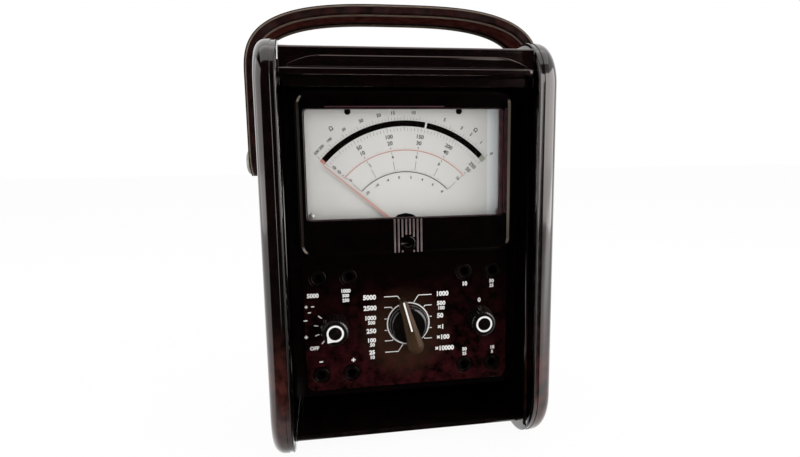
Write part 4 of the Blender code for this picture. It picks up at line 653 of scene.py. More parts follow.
def arc(centre: Pair, radius: float, start: float, end: float, steps: int = CORNER_STEPS) -> list[Pair]:
    """Points on an arc.

    Args:
        centre: its centre.
        radius: its radius.
        start: first angle, in degrees counter-clockwise from the outline's first axis.
        end: last angle.
        steps: number of chords.

    Returns:
        The points, both ends included.
    """
    angles = [math.radians(start + (end - start) * i / steps) for i in range(steps + 1)]
    return [(centre[0] + radius * math.cos(a), centre[1] + radius * math.sin(a)) for a in angles]


def circle(centre: Pair, radius: float, sides: int = ROUND_SIDES) -> list[Pair]:
    """Points round a circle."""
    return arc(centre, radius, 0, 360, sides)[:-1]


def rounded(left: float, right: float, low: float, high: float, low_corner: float, high_corner: float,
            steps: int = CORNER_STEPS) -> list[Pair]:
    """A rectangle whose lower and upper corners have their own radius.

    Args:
        left, right, low, high: its sides.
        low_corner: radius of the two lower corners.
        high_corner: radius of the two upper corners.
        steps: chords in each corner.

    Returns:
        The outline, counter-clockwise.
    """
    points = arc((right - low_corner, low + low_corner), low_corner, -90, 0, steps)
    points += arc((right - high_corner, high - high_corner), high_corner, 0, 90, steps)
    points += arc((left + high_corner, high - high_corner), high_corner, 90, 180, steps)
    return points + arc((left + low_corner, low + low_corner), low_corner, 180, 270, steps)


def stroke(points: Sequence[Pair], width: float) -> list[Pair]:
    """The outline of a line of even width through points.

    Args:
        points: the line's points.
        width: its width.

    Returns:
        A closed outline.
    """
    spots = [Vector(point) for point in points]
    sides: tuple[list[Pair], list[Pair]] = ([], [])
    for index, spot in enumerate(spots):
        ways = [
            (b - a).normalized() for a, b in zip(spots, spots[1:])
        ][max(index - 1, 0):index + 1]
        way = sum(ways, Vector((0, 0))).normalized()
        across = Vector((-way.y, way.x)) * (width / 2 / max(way.dot(ways[0]), 0.5))
        sides[0].append(tuple(spot + across))
        sides[1].append(tuple(spot - across))
    return sides[0] + sides[1][::-1]


def band(centre: Pair, inner: float, outer: float, start: float, end: float, steps: int) -> list[Pair]:
    """A piece of a ring, with its angles clockwise from straight up.

    Args:
        centre: the ring's centre.
        inner, outer: its radii.
        start, end: its ends, in degrees.
        steps: chords on each side.

    Returns:
        A closed outline.
    """
    return (
        arc(centre, outer, 90 - start, 90 - end, steps)
        + arc(centre, inner, 90 - end, 90 - start, steps)
    )


# Meshes


def link(name: str, data: bpy.types.ID) -> bpy.types.Object:
    """Puts a mesh or curve into the scene as an object."""
    made = bpy.data.objects.new(name, data)
    bpy.context.scene.collection.objects.link(made)
    return made


def evaluated_mesh(source: bpy.types.Object) -> bpy.types.Mesh:
    """The plain mesh that an object gives with its modifiers."""
    depsgraph = bpy.context.evaluated_depsgraph_get()
    return bpy.data.meshes.new_from_object(source.evaluated_get(depsgraph), depsgraph=depsgraph)


def bake(piece: bpy.types.Object) -> bpy.types.Object:
    """Turns a piece's modifiers into its mesh and removes them."""
    mesh = evaluated_mesh(piece)
    piece.modifiers.clear()
    piece.data = mesh
    return piece


def slab(loops: Iterable[Sequence[Pair]], front: float, back: float, edge: float = 0.0,
         steps: int = 3) -> bpy.types.Mesh:
    """A flat outline with any holes, parallel to the face, with its edges rounded.

    Args:
        loops: the outline and its holes, as X and Z.
        front: depth of its front.
        back: depth of its back.
        edge: radius of its edges.
        steps: how finely the edges are rounded.

    Returns:
        A mesh in millimetres.
    """
    curve = bpy.data.curves.new("slab", "CURVE")
    curve.dimensions = "2D"
    curve.fill_mode = "BOTH"
    curve.extrude = (back - front) / 2 - edge
    curve.bevel_depth = edge
    curve.bevel_resolution = steps
    curve.offset = -edge
    for loop in loops:
        spline = curve.splines.new("POLY")
        spline.points.add(len(loop) - 1)
        spline.points.foreach_set("co", [value for x, z in loop for value in (x, z, 0, 1)])
        spline.use_cyclic_u = True
    return facing_front(curve, (front + back) / 2)


def facing_front(curve: bpy.types.Curve, depth: float, turn: float = 0.0) -> bpy.types.Mesh:
    """The mesh of a flat curve or text, stood up parallel to the face.

    Args:
        curve: the curve, which is removed.
        depth: depth of its middle.
        turn: how far it is turned clockwise about its own origin, in degrees.

    Returns:
        A mesh in millimetres.
    """
    source = link("flat_curve", curve)
    mesh = evaluated_mesh(source)
    bpy.data.objects.remove(source, do_unlink=True)
    bpy.data.curves.remove(curve)
    upright = Matrix(((1, 0, 0, 0), (0, 0, -1, depth), (0, 1, 0, 0), (0, 0, 0, 1)))
    mesh.transform(upright @ Matrix.Rotation(math.radians(-turn), 4, "Z"))
    return mesh


class Form:
    """A closed mesh under construction, with points as (x, depth, z) in millimetres."""

    def __init__(self) -> None:
        """Starts with no points."""
        self.mesh = bmesh.new()

    def skin(self, rings: Sequence[Sequence[Point]], looped: bool = False) -> "Form":
        """Stretches a skin over closed rings of points.

        Args:
            rings: the rings, in order, with as many points in each.
            looped: whether the last ring joins the first, where the ends would be closed otherwise.

        Returns:
            This form.
        """
        rows = [[self.mesh.verts.new(point) for point in ring] for ring in rings]
        for low, high in zip(rows, rows[1:] + (rows[:1] if looped else [])):
            for i, j in zip(range(len(low)), [*range(1, len(low)), 0]):
                self.mesh.faces.new((low[i], low[j], high[j], high[i]))
        if not looped:
            self.mesh.faces.new(rows[0][::-1])
            self.mesh.faces.new(rows[-1])
        return self

    def turned(self, profile: Sequence[Pair], centre: Pair, axis: Axis = Axis.INTO_CASE,
               middle: float = 0.0, sides: int = ROUND_SIDES, looped: bool = False) -> "Form":
        """Turns a profile round an axis.

        Args:
            profile: radius and place along the axis.
            centre: X and Z of an axis into the case, or depth and Z of one across it.
            axis: the axis's direction.
            middle: place along the axis that the profile's zero goes to.
            sides: points round the shape.
            looped: whether the profile is a closed loop round a bore.

        Returns:
            This form.
        """
        rings = []
        for radius, along in profile:
            spots = circle(centre, max(radius, 0.004), sides)
            if axis is Axis.INTO_CASE:
                rings.append([(x, middle + along, z) for x, z in spots])
            else:
                rings.append([(middle + along, depth, z) for depth, z in spots])
        return self.skin(rings, looped)

    def include(self, mesh: bpy.types.Mesh, shift: Point = (0, 0, 0)) -> "Form":
        """Takes in a mesh made elsewhere and removes it.

        Args:
            mesh: a mesh in millimetres.
            shift: how far it moves.

        Returns:
            This form.
        """
        mesh.transform(Matrix.Translation(shift))
        self.mesh.from_mesh(mesh)
        bpy.data.meshes.remove(mesh)
        return self

    def turn(self, centre: Pair, degrees: float) -> "Form":
        """Turns everything clockwise about a point of the face."""
        middle = Vector((centre[0], 0, centre[1]))
        rotation = Matrix.Rotation(math.radians(degrees), 3, "Y")
        bmesh.ops.rotate(self.mesh, cent=middle, matrix=rotation, verts=self.mesh.verts)
        return self

    def piece(self, name: str, finish: Optional[Finish] = None, sharp: float = SHARP) -> bpy.types.Object:
        """Finishes the form as an object in the row frame.

        Args:
            name: the object's name.
            finish: its finish.
            sharp: edges steeper than this stay sharp.

        Returns:
            The object.
        """
        bmesh.ops.remove_doubles(self.mesh, verts=self.mesh.verts, dist=0.003)
        bmesh.ops.recalc_face_normals(self.mesh, faces=self.mesh.faces)
        for face in self.mesh.faces:
            face.smooth = True
        for edge in self.mesh.edges:
            edge.smooth = edge.calc_face_angle(0.0) < sharp
        for vertex in self.mesh.verts:
            vertex.co = place(*vertex.co)
        mesh = bpy.data.meshes.new(name)
        self.mesh.to_mesh(mesh)
        self.mesh.free()
        piece = link(name, mesh)
        if finish is not None:
            mesh.materials.append(MATERIALS[finish])
            keep_flat(piece)
        return piece


def carve(piece: bpy.types.Object, *cutters: bpy.types.Object) -> bpy.types.Object:
    """Cuts shapes out of a piece and removes them.

    Args:
        piece: what is cut.
        *cutters: the shapes, used once.

    Returns:
        The piece.
    """
    for cutter in cutters:
        modifier = piece.modifiers.new("carve", "BOOLEAN")
        modifier.solver = "EXACT"
        modifier.object = cutter
    bake(piece)
    for cutter in cutters:
        bpy.data.objects.remove(cutter, do_unlink=True)
    resharpen(piece)
    return piece


def keep_flat(piece: bpy.types.Object) -> None:
    """Weights a piece's normals by area, so that flats beside rounded edges shade flat."""
    modifier = piece.modifiers.new("keep_flat", "WEIGHTED_NORMAL")
    modifier.keep_sharp = True
    bake(piece)


def resharpen(piece: bpy.types.Object, sharp: float = SHARP) -> None:
    """Marks a finished mesh's steep edges sharp and the rest smooth."""
    piece.data.shade_smooth()
    piece.data.set_sharp_from_angle(angle=sharp)
    keep_flat(piece)


def text_mesh(words: str, size: float, depth: float, thickness: float, turn: float = 0.0,
              weight: float = 0.02) -> bpy.types.Mesh:
    """A number or sign as a thin solid, centred on the origin.

    Args:
        words: the characters.
        size: height of the type.
        depth: depth of its middle.
        thickness: its thickness.
        turn: its turn clockwise, in degrees.
        weight: how much its strokes are thickened, as a share of its height.

    Returns:
        A mesh in millimetres.
    """
    curve = bpy.data.curves.new("type", "FONT")
    curve.body = words
    curve.size = size
    curve.align_x = "CENTER"
    curve.align_y = "CENTER"
    curve.extrude = thickness / 2
    curve.offset = size * weight
    curve.resolution_u = 3
    return facing_front(curve, depth, turn)


def settle(piece: bpy.types.Object, body: Body,
           replaces: Sequence[str] = ()) -> bpy.types.Object:
    """Hands a finished piece over to the frame.

    Args:
        piece: the object.
        body: the CAD body that it rides on.
        replaces: CAD nodes that it stands for.

    Returns:
        The piece.
    """
    if replaces:
        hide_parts(*replaces)
    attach(piece, body.value)
    LOG.info("%s: %d faces on %s", piece.name, len(piece.data.polygons), body.value)
    return piece


# Geometry trees

TREE = "GeometryNodeTree"
SHAPE = "NodeSocketGeometry"
STUFF = "NodeSocketMaterial"


def tree(name: str, inputs: dict[str, tuple]) -> Group:
    """Starts a geometry tree that takes points and sizes and gives a mesh."""
    sockets = {"Geometry": (SHAPE, None), **inputs, "Material": (STUFF, None)}
    return Group(name, TREE, sockets, {"Geometry": SHAPE})


def close(group: Group, instances: Value) -> Group:
    """Ends a geometry tree: real mesh, then its material."""
    real = group.add("GeometryNodeRealizeInstances", {0: instances}).outputs[0]
    dressed = group.add(
        "GeometryNodeSetMaterial", {"Geometry": real, "Material": group.entry["Material"]}
    )
    group.feed(group.exit["Geometry"], dressed.outputs[0])
    return group


def vector_of(group: Group, x: Value = 0.0, y: Value = 0.0, z: Value = 0.0) -> bpy.types.NodeSocket:
    """A vector from three numbers."""
    return group.add("ShaderNodeCombineXYZ", {0: x, 1: y, 2: z}).outputs[0]


def moved(group: Group, shape: Value, **settings: Value) -> bpy.types.NodeSocket:
    """A shape that is moved, turned or scaled."""
    node = group.add("GeometryNodeTransform", {"Geometry": shape})
    for name, value in settings.items():
        group.feed(node.inputs[name], value)
    return node.outputs[0]


def joined(group: Group, *shapes: Value) -> bpy.types.NodeSocket:
    """Several shapes as one."""
    node = group.add("GeometryNodeJoinGeometry")
    for shape in shapes:
        group.tree.links.new(shape, node.inputs[0])
    return node.outputs[0]


def turned_about_depth(group: Group) -> bpy.types.NodeSocket:
    """Each point's own turn about the direction into the case."""
    turn = group.add("GeometryNodeInputNamedAttribute", {"Name": "turn"}, data_type="FLOAT").outputs[0]
    return group.add(
        "FunctionNodeEulerToRotation", {0: vector_of(group, y=turn)}
    ).outputs[0]


def on_points(group: Group, shape: Value, rotation: Value, scale: Value = (1.0, 1.0, 1.0),
              points: Optional[Value] = None) -> bpy.types.NodeSocket:
    """Copies of a shape on the tree's points."""
    node = group.add("GeometryNodeInstanceOnPoints", {
        "Points": points or group.entry["Geometry"], "Instance": shape, "Rotation": rotation,
        "Scale": scale,
    })
    return node.outputs[0]


def cylinder(group: Group, radius: Value, depth: Value, sides: int = 40) -> bpy.types.NodeSocket:
    """A cylinder whose axis runs into the case, centred on the origin."""
    node = group.add(
        "GeometryNodeMeshCylinder", {"Vertices": sides, "Radius": radius, "Depth": depth},
        fill_type="NGON",
    )
    return moved(group, node.outputs[0], Rotation=(math.pi / 2, 0.0, 0.0))


def cut_from(group: Group, shape: Value, tool: Value) -> bpy.types.NodeSocket:
    """A shape less another."""
    node = group.add("GeometryNodeMeshBoolean", operation="DIFFERENCE", solver="EXACT")
    group.feed(node.inputs["Mesh 1"], shape)
    group.tree.links.new(tool, node.inputs["Mesh 2"])
    return node.outputs[0]


def smooth(group: Group, shape: Value) -> bpy.types.NodeSocket:
    """A shape shaded smooth."""
    return group.add("GeometryNodeSetShadeSmooth", {"Geometry": shape}).outputs[0]


def screw_tree() -> Group:
    """Slotted screws with domed heads, whose slots follow each point's turn."""
    inputs = {
        "Head Radius": (NUMBER, 0.0016), "Head Height": (NUMBER, 0.0009),
        "Slot Width": (NUMBER, 0.0005), "Slot Depth": (NUMBER, 0.0005),
        "Shank Radius": (NUMBER, 0.0008), "Shank Length": (NUMBER, 0.003),
    }
    group = tree("slotted_screws", inputs)
    entry = group.entry
    ball = group.add("GeometryNodeMeshUVSphere", {"Segments": 40, "Rings": 22, "Radius": 1.0}).outputs[0]
    size = vector_of(group, entry["Head Radius"], entry["Head Height"], entry["Head Radius"])
    dome = moved(group, moved(group, ball, Rotation=(math.pi / 2, 0.0, 0.0)), Scale=size)
    long = group.math("MULTIPLY", entry["Head Radius"], 3.0)
    tall = group.math("MULTIPLY", entry["Slot Depth"], 2.0)
    slot = group.add(
        "GeometryNodeMeshCube", {"Size": vector_of(group, long, tall, entry["Slot Width"])}
    ).outputs[0]
    top = group.math("MULTIPLY", entry["Head Height"], -1.0)
    slotted = cut_from(group, dome, moved(group, slot, Translation=vector_of(group, y=top)))
    shank = cylinder(group, entry["Shank Radius"], entry["Shank Length"], 20)
    middle = group.math("MULTIPLY", entry["Shank Length"], 0.5)
    low = moved(group, shank, Translation=vector_of(group, y=middle))
    head = joined(group, slotted, low)
    return close(group, on_points(group, head, turned_about_depth(group)))


def socket_tree() -> Group:
    """Round sockets: a body with a rounded rim and a bore."""
    inputs = {
        "Radius": (NUMBER, 0.0043), "Rim": (NUMBER, 0.0005), "Bore": (NUMBER, 0.002),
        "Length": (NUMBER, 0.015), "Mouth": (NUMBER, 0.0028),
    }
    group = tree("sockets", inputs)
    entry = group.entry
    barrel = cylinder(group, entry["Radius"], entry["Length"])
    hole_length = group.math("MULTIPLY", entry["Length"], 1.6)
    bored = cut_from(group, barrel, cylinder(group, entry["Bore"], hole_length))
    cone = group.add("GeometryNodeMeshCone", {
        "Vertices": 40, "Radius Top": entry["Mouth"], "Radius Bottom": entry["Bore"],
        "Depth": entry["Rim"],
    }, fill_type="NGON").outputs[0]
    front = group.math("MULTIPLY", entry["Length"], -0.5)
    tool = moved(group, cone, Rotation=(math.pi / 2, 0.0, 0.0), Translation=vector_of(group, y=front))
    flared = moved(
        group, cut_from(group, bored, tool),
        Translation=vector_of(group, y=group.math("MULTIPLY", entry["Length"], 0.5)),
    )
    path = group.add("GeometryNodeCurvePrimitiveCircle", {"Resolution": 48, "Radius": group.math(
        "SUBTRACT", entry["Radius"], entry["Rim"]
    )}).outputs[0]
    wire = group.add("GeometryNodeCurvePrimitiveCircle", {"Resolution": 14, "Radius": entry["Rim"]}).outputs[0]
    rim = group.add("GeometryNodeCurveToMesh", {0: path, 1: wire}).outputs[0]
    rim = smooth(group, moved(group, rim, Rotation=(math.pi / 2, 0.0, 0.0)))
    return close(group, on_points(group, joined(group, flared, rim), turned_about_depth(group)))


def tick_tree() -> Group:
    """Scale ticks round a centre, where every so many is longer."""
    inputs = {
        "Centre": (VECTOR, None), "Count": (WHOLE, 51), "Radius": (NUMBER, 0.06),
        "Length": (NUMBER, 0.001), "Long Length": (NUMBER, 0.002), "Long Every": (WHOLE, 5),
        "Width": (NUMBER, 0.0002), "Height": (NUMBER, 0.0001), "Start": (NUMBER, -0.86),
        "Sweep": (NUMBER, 1.72),
    }
    group = tree("scale_ticks", inputs)
    entry = group.entry
    index = group.add("GeometryNodeInputIndex").outputs[0]
    last = group.math("SUBTRACT", entry["Count"], 1)
    share = group.math("DIVIDE", index, last)
    angle = group.math("ADD", entry["Start"], group.math("MULTIPLY", entry["Sweep"], share))
    rest = group.math("MODULO", index, entry["Long Every"])
    is_long = group.math("LESS_THAN", rest, 0.5)
    extra = group.math("SUBTRACT", entry["Long Length"], entry["Length"])
    length = group.math("ADD", entry["Length"], group.math("MULTIPLY", extra, is_long))
    out = group.math("ADD", entry["Radius"], group.math("MULTIPLY", length, 0.5))
    x = group.math("MULTIPLY", out, group.math("SINE", angle))
    z = group.math("MULTIPLY", out, group.math("COSINE", angle))
    spot = group.add("ShaderNodeVectorMath", {0: vector_of(group, x, 0.0, z), 1: entry["Centre"]})
    points = group.add(
        "GeometryNodePoints", {"Count": entry["Count"], "Position": spot.outputs[0]}
    ).outputs[0]
    cube = group.add("GeometryNodeMeshCube", {"Size": (1.0, 1.0, 1.0)}).outputs[0]
    rotation = group.add("FunctionNodeEulerToRotation", {0: vector_of(group, y=angle)}).outputs[0]
    scale = vector_of(group, entry["Width"], entry["Height"], length)
    return close(group, on_points(group, cube, rotation, scale, points))


def bar_row_tree() -> Group:
    """Round-edged bars across the case on each point, lying along the points' path."""
    inputs = {
        "Pitch": (NUMBER, 0.0079), "Width": (NUMBER, 0.0072), "Thickness": (NUMBER, 0.0034),
        "Round": (NUMBER, 0.0011), "Half Length": (NUMBER, 0.067),
    }
    group = tree("bar_row", inputs)
    entry = group.entry
    outline = group.add(
        "GeometryNodeCurvePrimitiveQuadrilateral", {"Width": entry["Width"], "Height": entry["Thickness"]}
    ).outputs[0]
    soft = group.add(
        "GeometryNodeFilletCurve", {"Curve": outline, "Radius": entry["Round"], "Count": 4}, mode="POLY"
    ).outputs[0]
    face = group.add("GeometryNodeFillCurve", {0: soft}, mode="NGONS").outputs[0]
    length = group.math("MULTIPLY", entry["Half Length"], 2.0)
    side = group.add(
        "GeometryNodeExtrudeMesh", {"Mesh": face, "Offset": (0.0, 0.0, 1.0), "Offset Scale": length}
    ).outputs[0]
    flipped = group.add("GeometryNodeFlipFaces", {0: face}).outputs[0]
    solid = group.add(
        "GeometryNodeMergeByDistance", {"Geometry": joined(group, side, flipped), "Distance": 0.000002}
    ).outputs[0]
    back = group.math("MULTIPLY", entry["Half Length"], -1.0)
    bar = moved(group, solid, Translation=vector_of(group, z=back))
    path = group.add("GeometryNodeMeshToCurve", {0: entry["Geometry"]}).outputs[0]
    spaced = group.add(
        "GeometryNodeResampleCurve", {"Curve": path, "Length": entry["Pitch"]}, mode="LENGTH"
    ).outputs[0]
    tangent = group.add("GeometryNodeInputTangent").outputs[0]
    rotation = group.add(
        "FunctionNodeAxesToRotation", {0: (1.0, 0.0, 0.0), 1: tangent}, primary_axis="Z",
        secondary_axis="X",
    ).outputs[0]
    return close(group, on_points(group, bar, rotation, points=spaced))


SCREWS = screw_tree()
SOCKETS = socket_tree()
TICKS = tick_tree()
BAR_ROW = bar_row_tree()


def points_mesh(spots: Sequence[Vector], turns: Sequence[float] = (), chained: bool = False) -> bpy.types.Mesh:
    """Loose or chained points for a geometry tree.

    Args:
        spots: the points, in metres.
        turns: each point's turn about the direction into the case, in degrees.
        chained: whether edges join them in order.

    Returns:
        The mesh.
    """
    mesh = bpy.data.meshes.new("points")
    edges = [(i, i + 1) for i in range(len(spots) - 1)] if chained else []
    mesh.from_pydata([tuple(spot) for spot in spots], edges, [])
    values = mesh.attributes.new("turn", "FLOAT", "POINT")
    values.data.foreach_set("value", [math.radians(turn) for turn in turns] or [0.0] * len(spots))
    return mesh


def grow(name: str, group: Group, finish: Finish, base: Optional[bpy.types.Mesh] = None,
         **sizes: Value) -> bpy.types.Object:
    """Runs a geometry tree and keeps what it makes as a plain mesh.

    Args:
        name: the object's name.
        group: the tree.
        finish: its finish.
        base: the points that the tree starts from.
        **sizes: the tree's inputs, with underscores for spaces.

    Returns:
        The object.
    """
    piece = link(name, base or bpy.data.meshes.new(name))
    modifier = piece.modifiers.new(group.tree.name, "NODES")
    modifier.node_group = group.tree
    modifier[group.ids["Material"]] = MATERIALS[finish]
    for label, value in sizes.items():
        modifier[group.ids[label.replace("_", " ")]] = value
    bake(piece)
    resharpen(piece)
    return piece


# Case


@dataclass
class Track:
    """The groove that the roll front runs in, round the inside of both cheeks."""

    inset: float = 8.6
    width: float = 4.3
    depth: float = 4.4
    low_end: float = 10.0
    corner: float = 24.0
    steps: int = 14

    @property
    def middle(self) -> float:
        """Inset of the groove's middle line."""
        return self.inset + self.width / 2

    def line(self, inset: float, low: float, case: Box) -> list[Pair]:
        """The line at an inset from the cheeks' edge, as depth and Z, up the front and down the back."""
        bend = case.top - self.corner
        radius = self.corner - inset
        points = [(inset, low)]
        points += arc((self.corner, bend), radius, 180, 90, self.steps)
        points += arc((case.back - self.corner, bend), radius, 90, 0, self.steps)
        return points + [(case.back - inset, low)]


@dataclass
class Cheeks:
    """The two moulded sides, with a beaded rim, a track groove and a bore for the stud."""

    top_corner: float = 24.0
    bottom_corner: float = 31.0
    bore: float = 2.6
    bore_depth: float = 7.5
    pivot_height: float = 159.0
    edge: float = 6.0
    outer_round: int = 12
    crown: float = 0.045
    groove: tuple[Pair, ...] = (
        (3.25, 0.0), (3.20, 0.08), (3.15, 0.38), (3.05, 0.44), (1.32, 0.44), (1.22, 0.36), (1.16, 0.18),
        (1.10, 0.08),
    )
    bead: tuple[Pair, ...] = (
        (0.98, 0.02), (0.86, 0.0), (0.70, 0.04), (0.55, 0.16), (0.38, 0.42), (0.22, 0.80), (0.08, 1.30),
        (0.0, 1.9),
    )
    track: Track = field(default_factory=Track)

    def section(self, thickness: float) -> list[Pair]:
        """The rim's section.

        Args:
            thickness: the cheek's thickness.

        Returns:
            Distance from the inner face and inset from the outline, from the outer face in.
        """
        start = self.groove[0][0] + 0.15
        end = thickness - self.edge * (1 - math.sin(self.crown))
        fall = math.tan(self.crown)
        drop = fall * (end - start) + self.edge * math.cos(self.crown)
        corner = thickness - self.edge
        rim = [
            (corner + self.edge * math.cos(a), drop - self.edge * math.sin(a))
            for a in ((math.pi / 2 - self.crown) * i / self.outer_round for i in range(self.outer_round + 1))
        ]
        return [(thickness, self.edge + 9.0), (thickness, self.edge + 1.2), *rim,
                (end - 0.3, fall * (end - 0.3 - start)), (start, 0.0), *self.groove, *self.bead, (0.0, 4.0)]

    def shell(self, side: int, case: Box) -> Form:
        """One cheek without its cuts."""
        thickness = case.right - case.left
        inner = case.left if side > 0 else case.right
        rings = []
        for away, inset in self.section(thickness):
            ring = rounded(
                inset, case.back - inset, inset, case.top - inset, self.bottom_corner - inset,
                self.top_corner - inset, 2 * CORNER_STEPS,
            )
            rings.append([(inner + side * away, depth, z) for depth, z in ring])
        return Form().skin(rings)

    def groove_tool(self, side: int, case: Box) -> bpy.types.Object:
        """The solid that cuts the track."""
        inner = case.left if side > 0 else case.right
        outer_line = self.track.line(self.track.inset, self.track.low_end, case)
        inner_line = self.track.line(self.track.inset + self.track.width, self.track.low_end, case)
        low, high = inner - side * 3.0, inner + side * self.track.depth
        rings = [
            [(low, *a), (high, *a), (high, *b), (low, *b)] for a, b in zip(outer_line, inner_line)
        ]
        return Form().skin(rings).piece("track_tool")

    def seal(self, side: int) -> Form:
        """The thin strips that close the joint between a cheek and the case body."""
        box = Box.of("case_body")
        edge = box.right if side > 0 else box.left
        outline = rounded(edge - 0.25, edge + 0.35, box.bottom + 0.3, box.top - 0.3, 0.2, 0.2, 3)
        low = rounded(edge - 0.25, edge + 0.35, box.bottom + 0.3, box.bottom + 2.7, 0.2, 0.2, 3)
        form = Form().include(slab([outline], box.back - 3.4, box.back - 0.4))
        return form.include(slab([low], box.front + 0.3, box.back - 3.6))

    def build(self) -> None:
        """Makes both cheeks."""
        for name, side in (("cheek_left", -1), ("cheek_right", 1)):
            case = Box.of(name)
            shell = self.shell(side, case).piece(name + "_moulding", Finish.CHEEK)
            outer = case.right if side > 0 else case.left
            profile = [(self.bore, -self.bore_depth * side), (self.bore, 3.0 * side)]
            hole = Form().turned(
                profile, ((case.front + case.back) / 2, self.pivot_height), Axis.ACROSS, outer, 32
            ).piece("bore_tool")
            carve(shell, self.groove_tool(side, case), hole)
            settle(shell, Body.CASE, [name])
            settle(self.seal(side).piece(name + "_seal", Finish.PANEL), Body.CASE)


@dataclass
class Inside:
    """The CAD nodes whose shape is right and which only take a finish."""

    finishes: dict[Finish, tuple[str, ...]] = field(default_factory=lambda: {
        Finish.PHENOLIC: ("case_body",),
        Finish.WINDOW: ("meter_window",),
        Finish.DIAL: ("dial_plate",),
        Finish.POINTER: ("pointer",),
        Finish.TARNISH_AND_SHADE: ("movement_backing_plate",),
        Finish.BRASS: (
            "range_rotor", "cell_contact_left", "cell_contact_right",
            "hairspring_front", "hairspring_rear", "rear_bridge",
        ),
        Finish.NICKEL: (
            "pivot_staff_front", "pivot_staff_rear", "range_switch_shaft", "range_detent_plate",
            "range_tie_rod_left", "range_tie_rod_right", "function_switch_shaft",
            "function_switch_frame", "zero_ohms_shaft", "zero_ohms_potentiometer",
        ),
        Finish.MAGNET: ("horseshoe_magnet",),
        Finish.SOFT_IRON: ("pole_piece_left", "pole_piece_right", "iron_core"),
        Finish.COPPER: ("moving_coil",),
        Finish.LAMINATE: ("range_wafer", "function_wafer", "circuit_board"),
        Finish.RESISTOR: ("multiplier_resistor_1", "multiplier_resistor_2", "multiplier_resistor_3"),
        Finish.TRAY: ("battery_tray",),
        Finish.CELL: ("round_cell", "block_battery"),
    })

    def dress(self) -> None:
        """Gives each node its finish."""
        for finish, names in self.finishes.items():
            for name in names:
                slots = frame["nodes"][name].data.materials
                slots.clear()
                slots.append(MATERIALS[finish])
                LOG.info("%s: dressed as %s", name, finish.value.name)


# Face


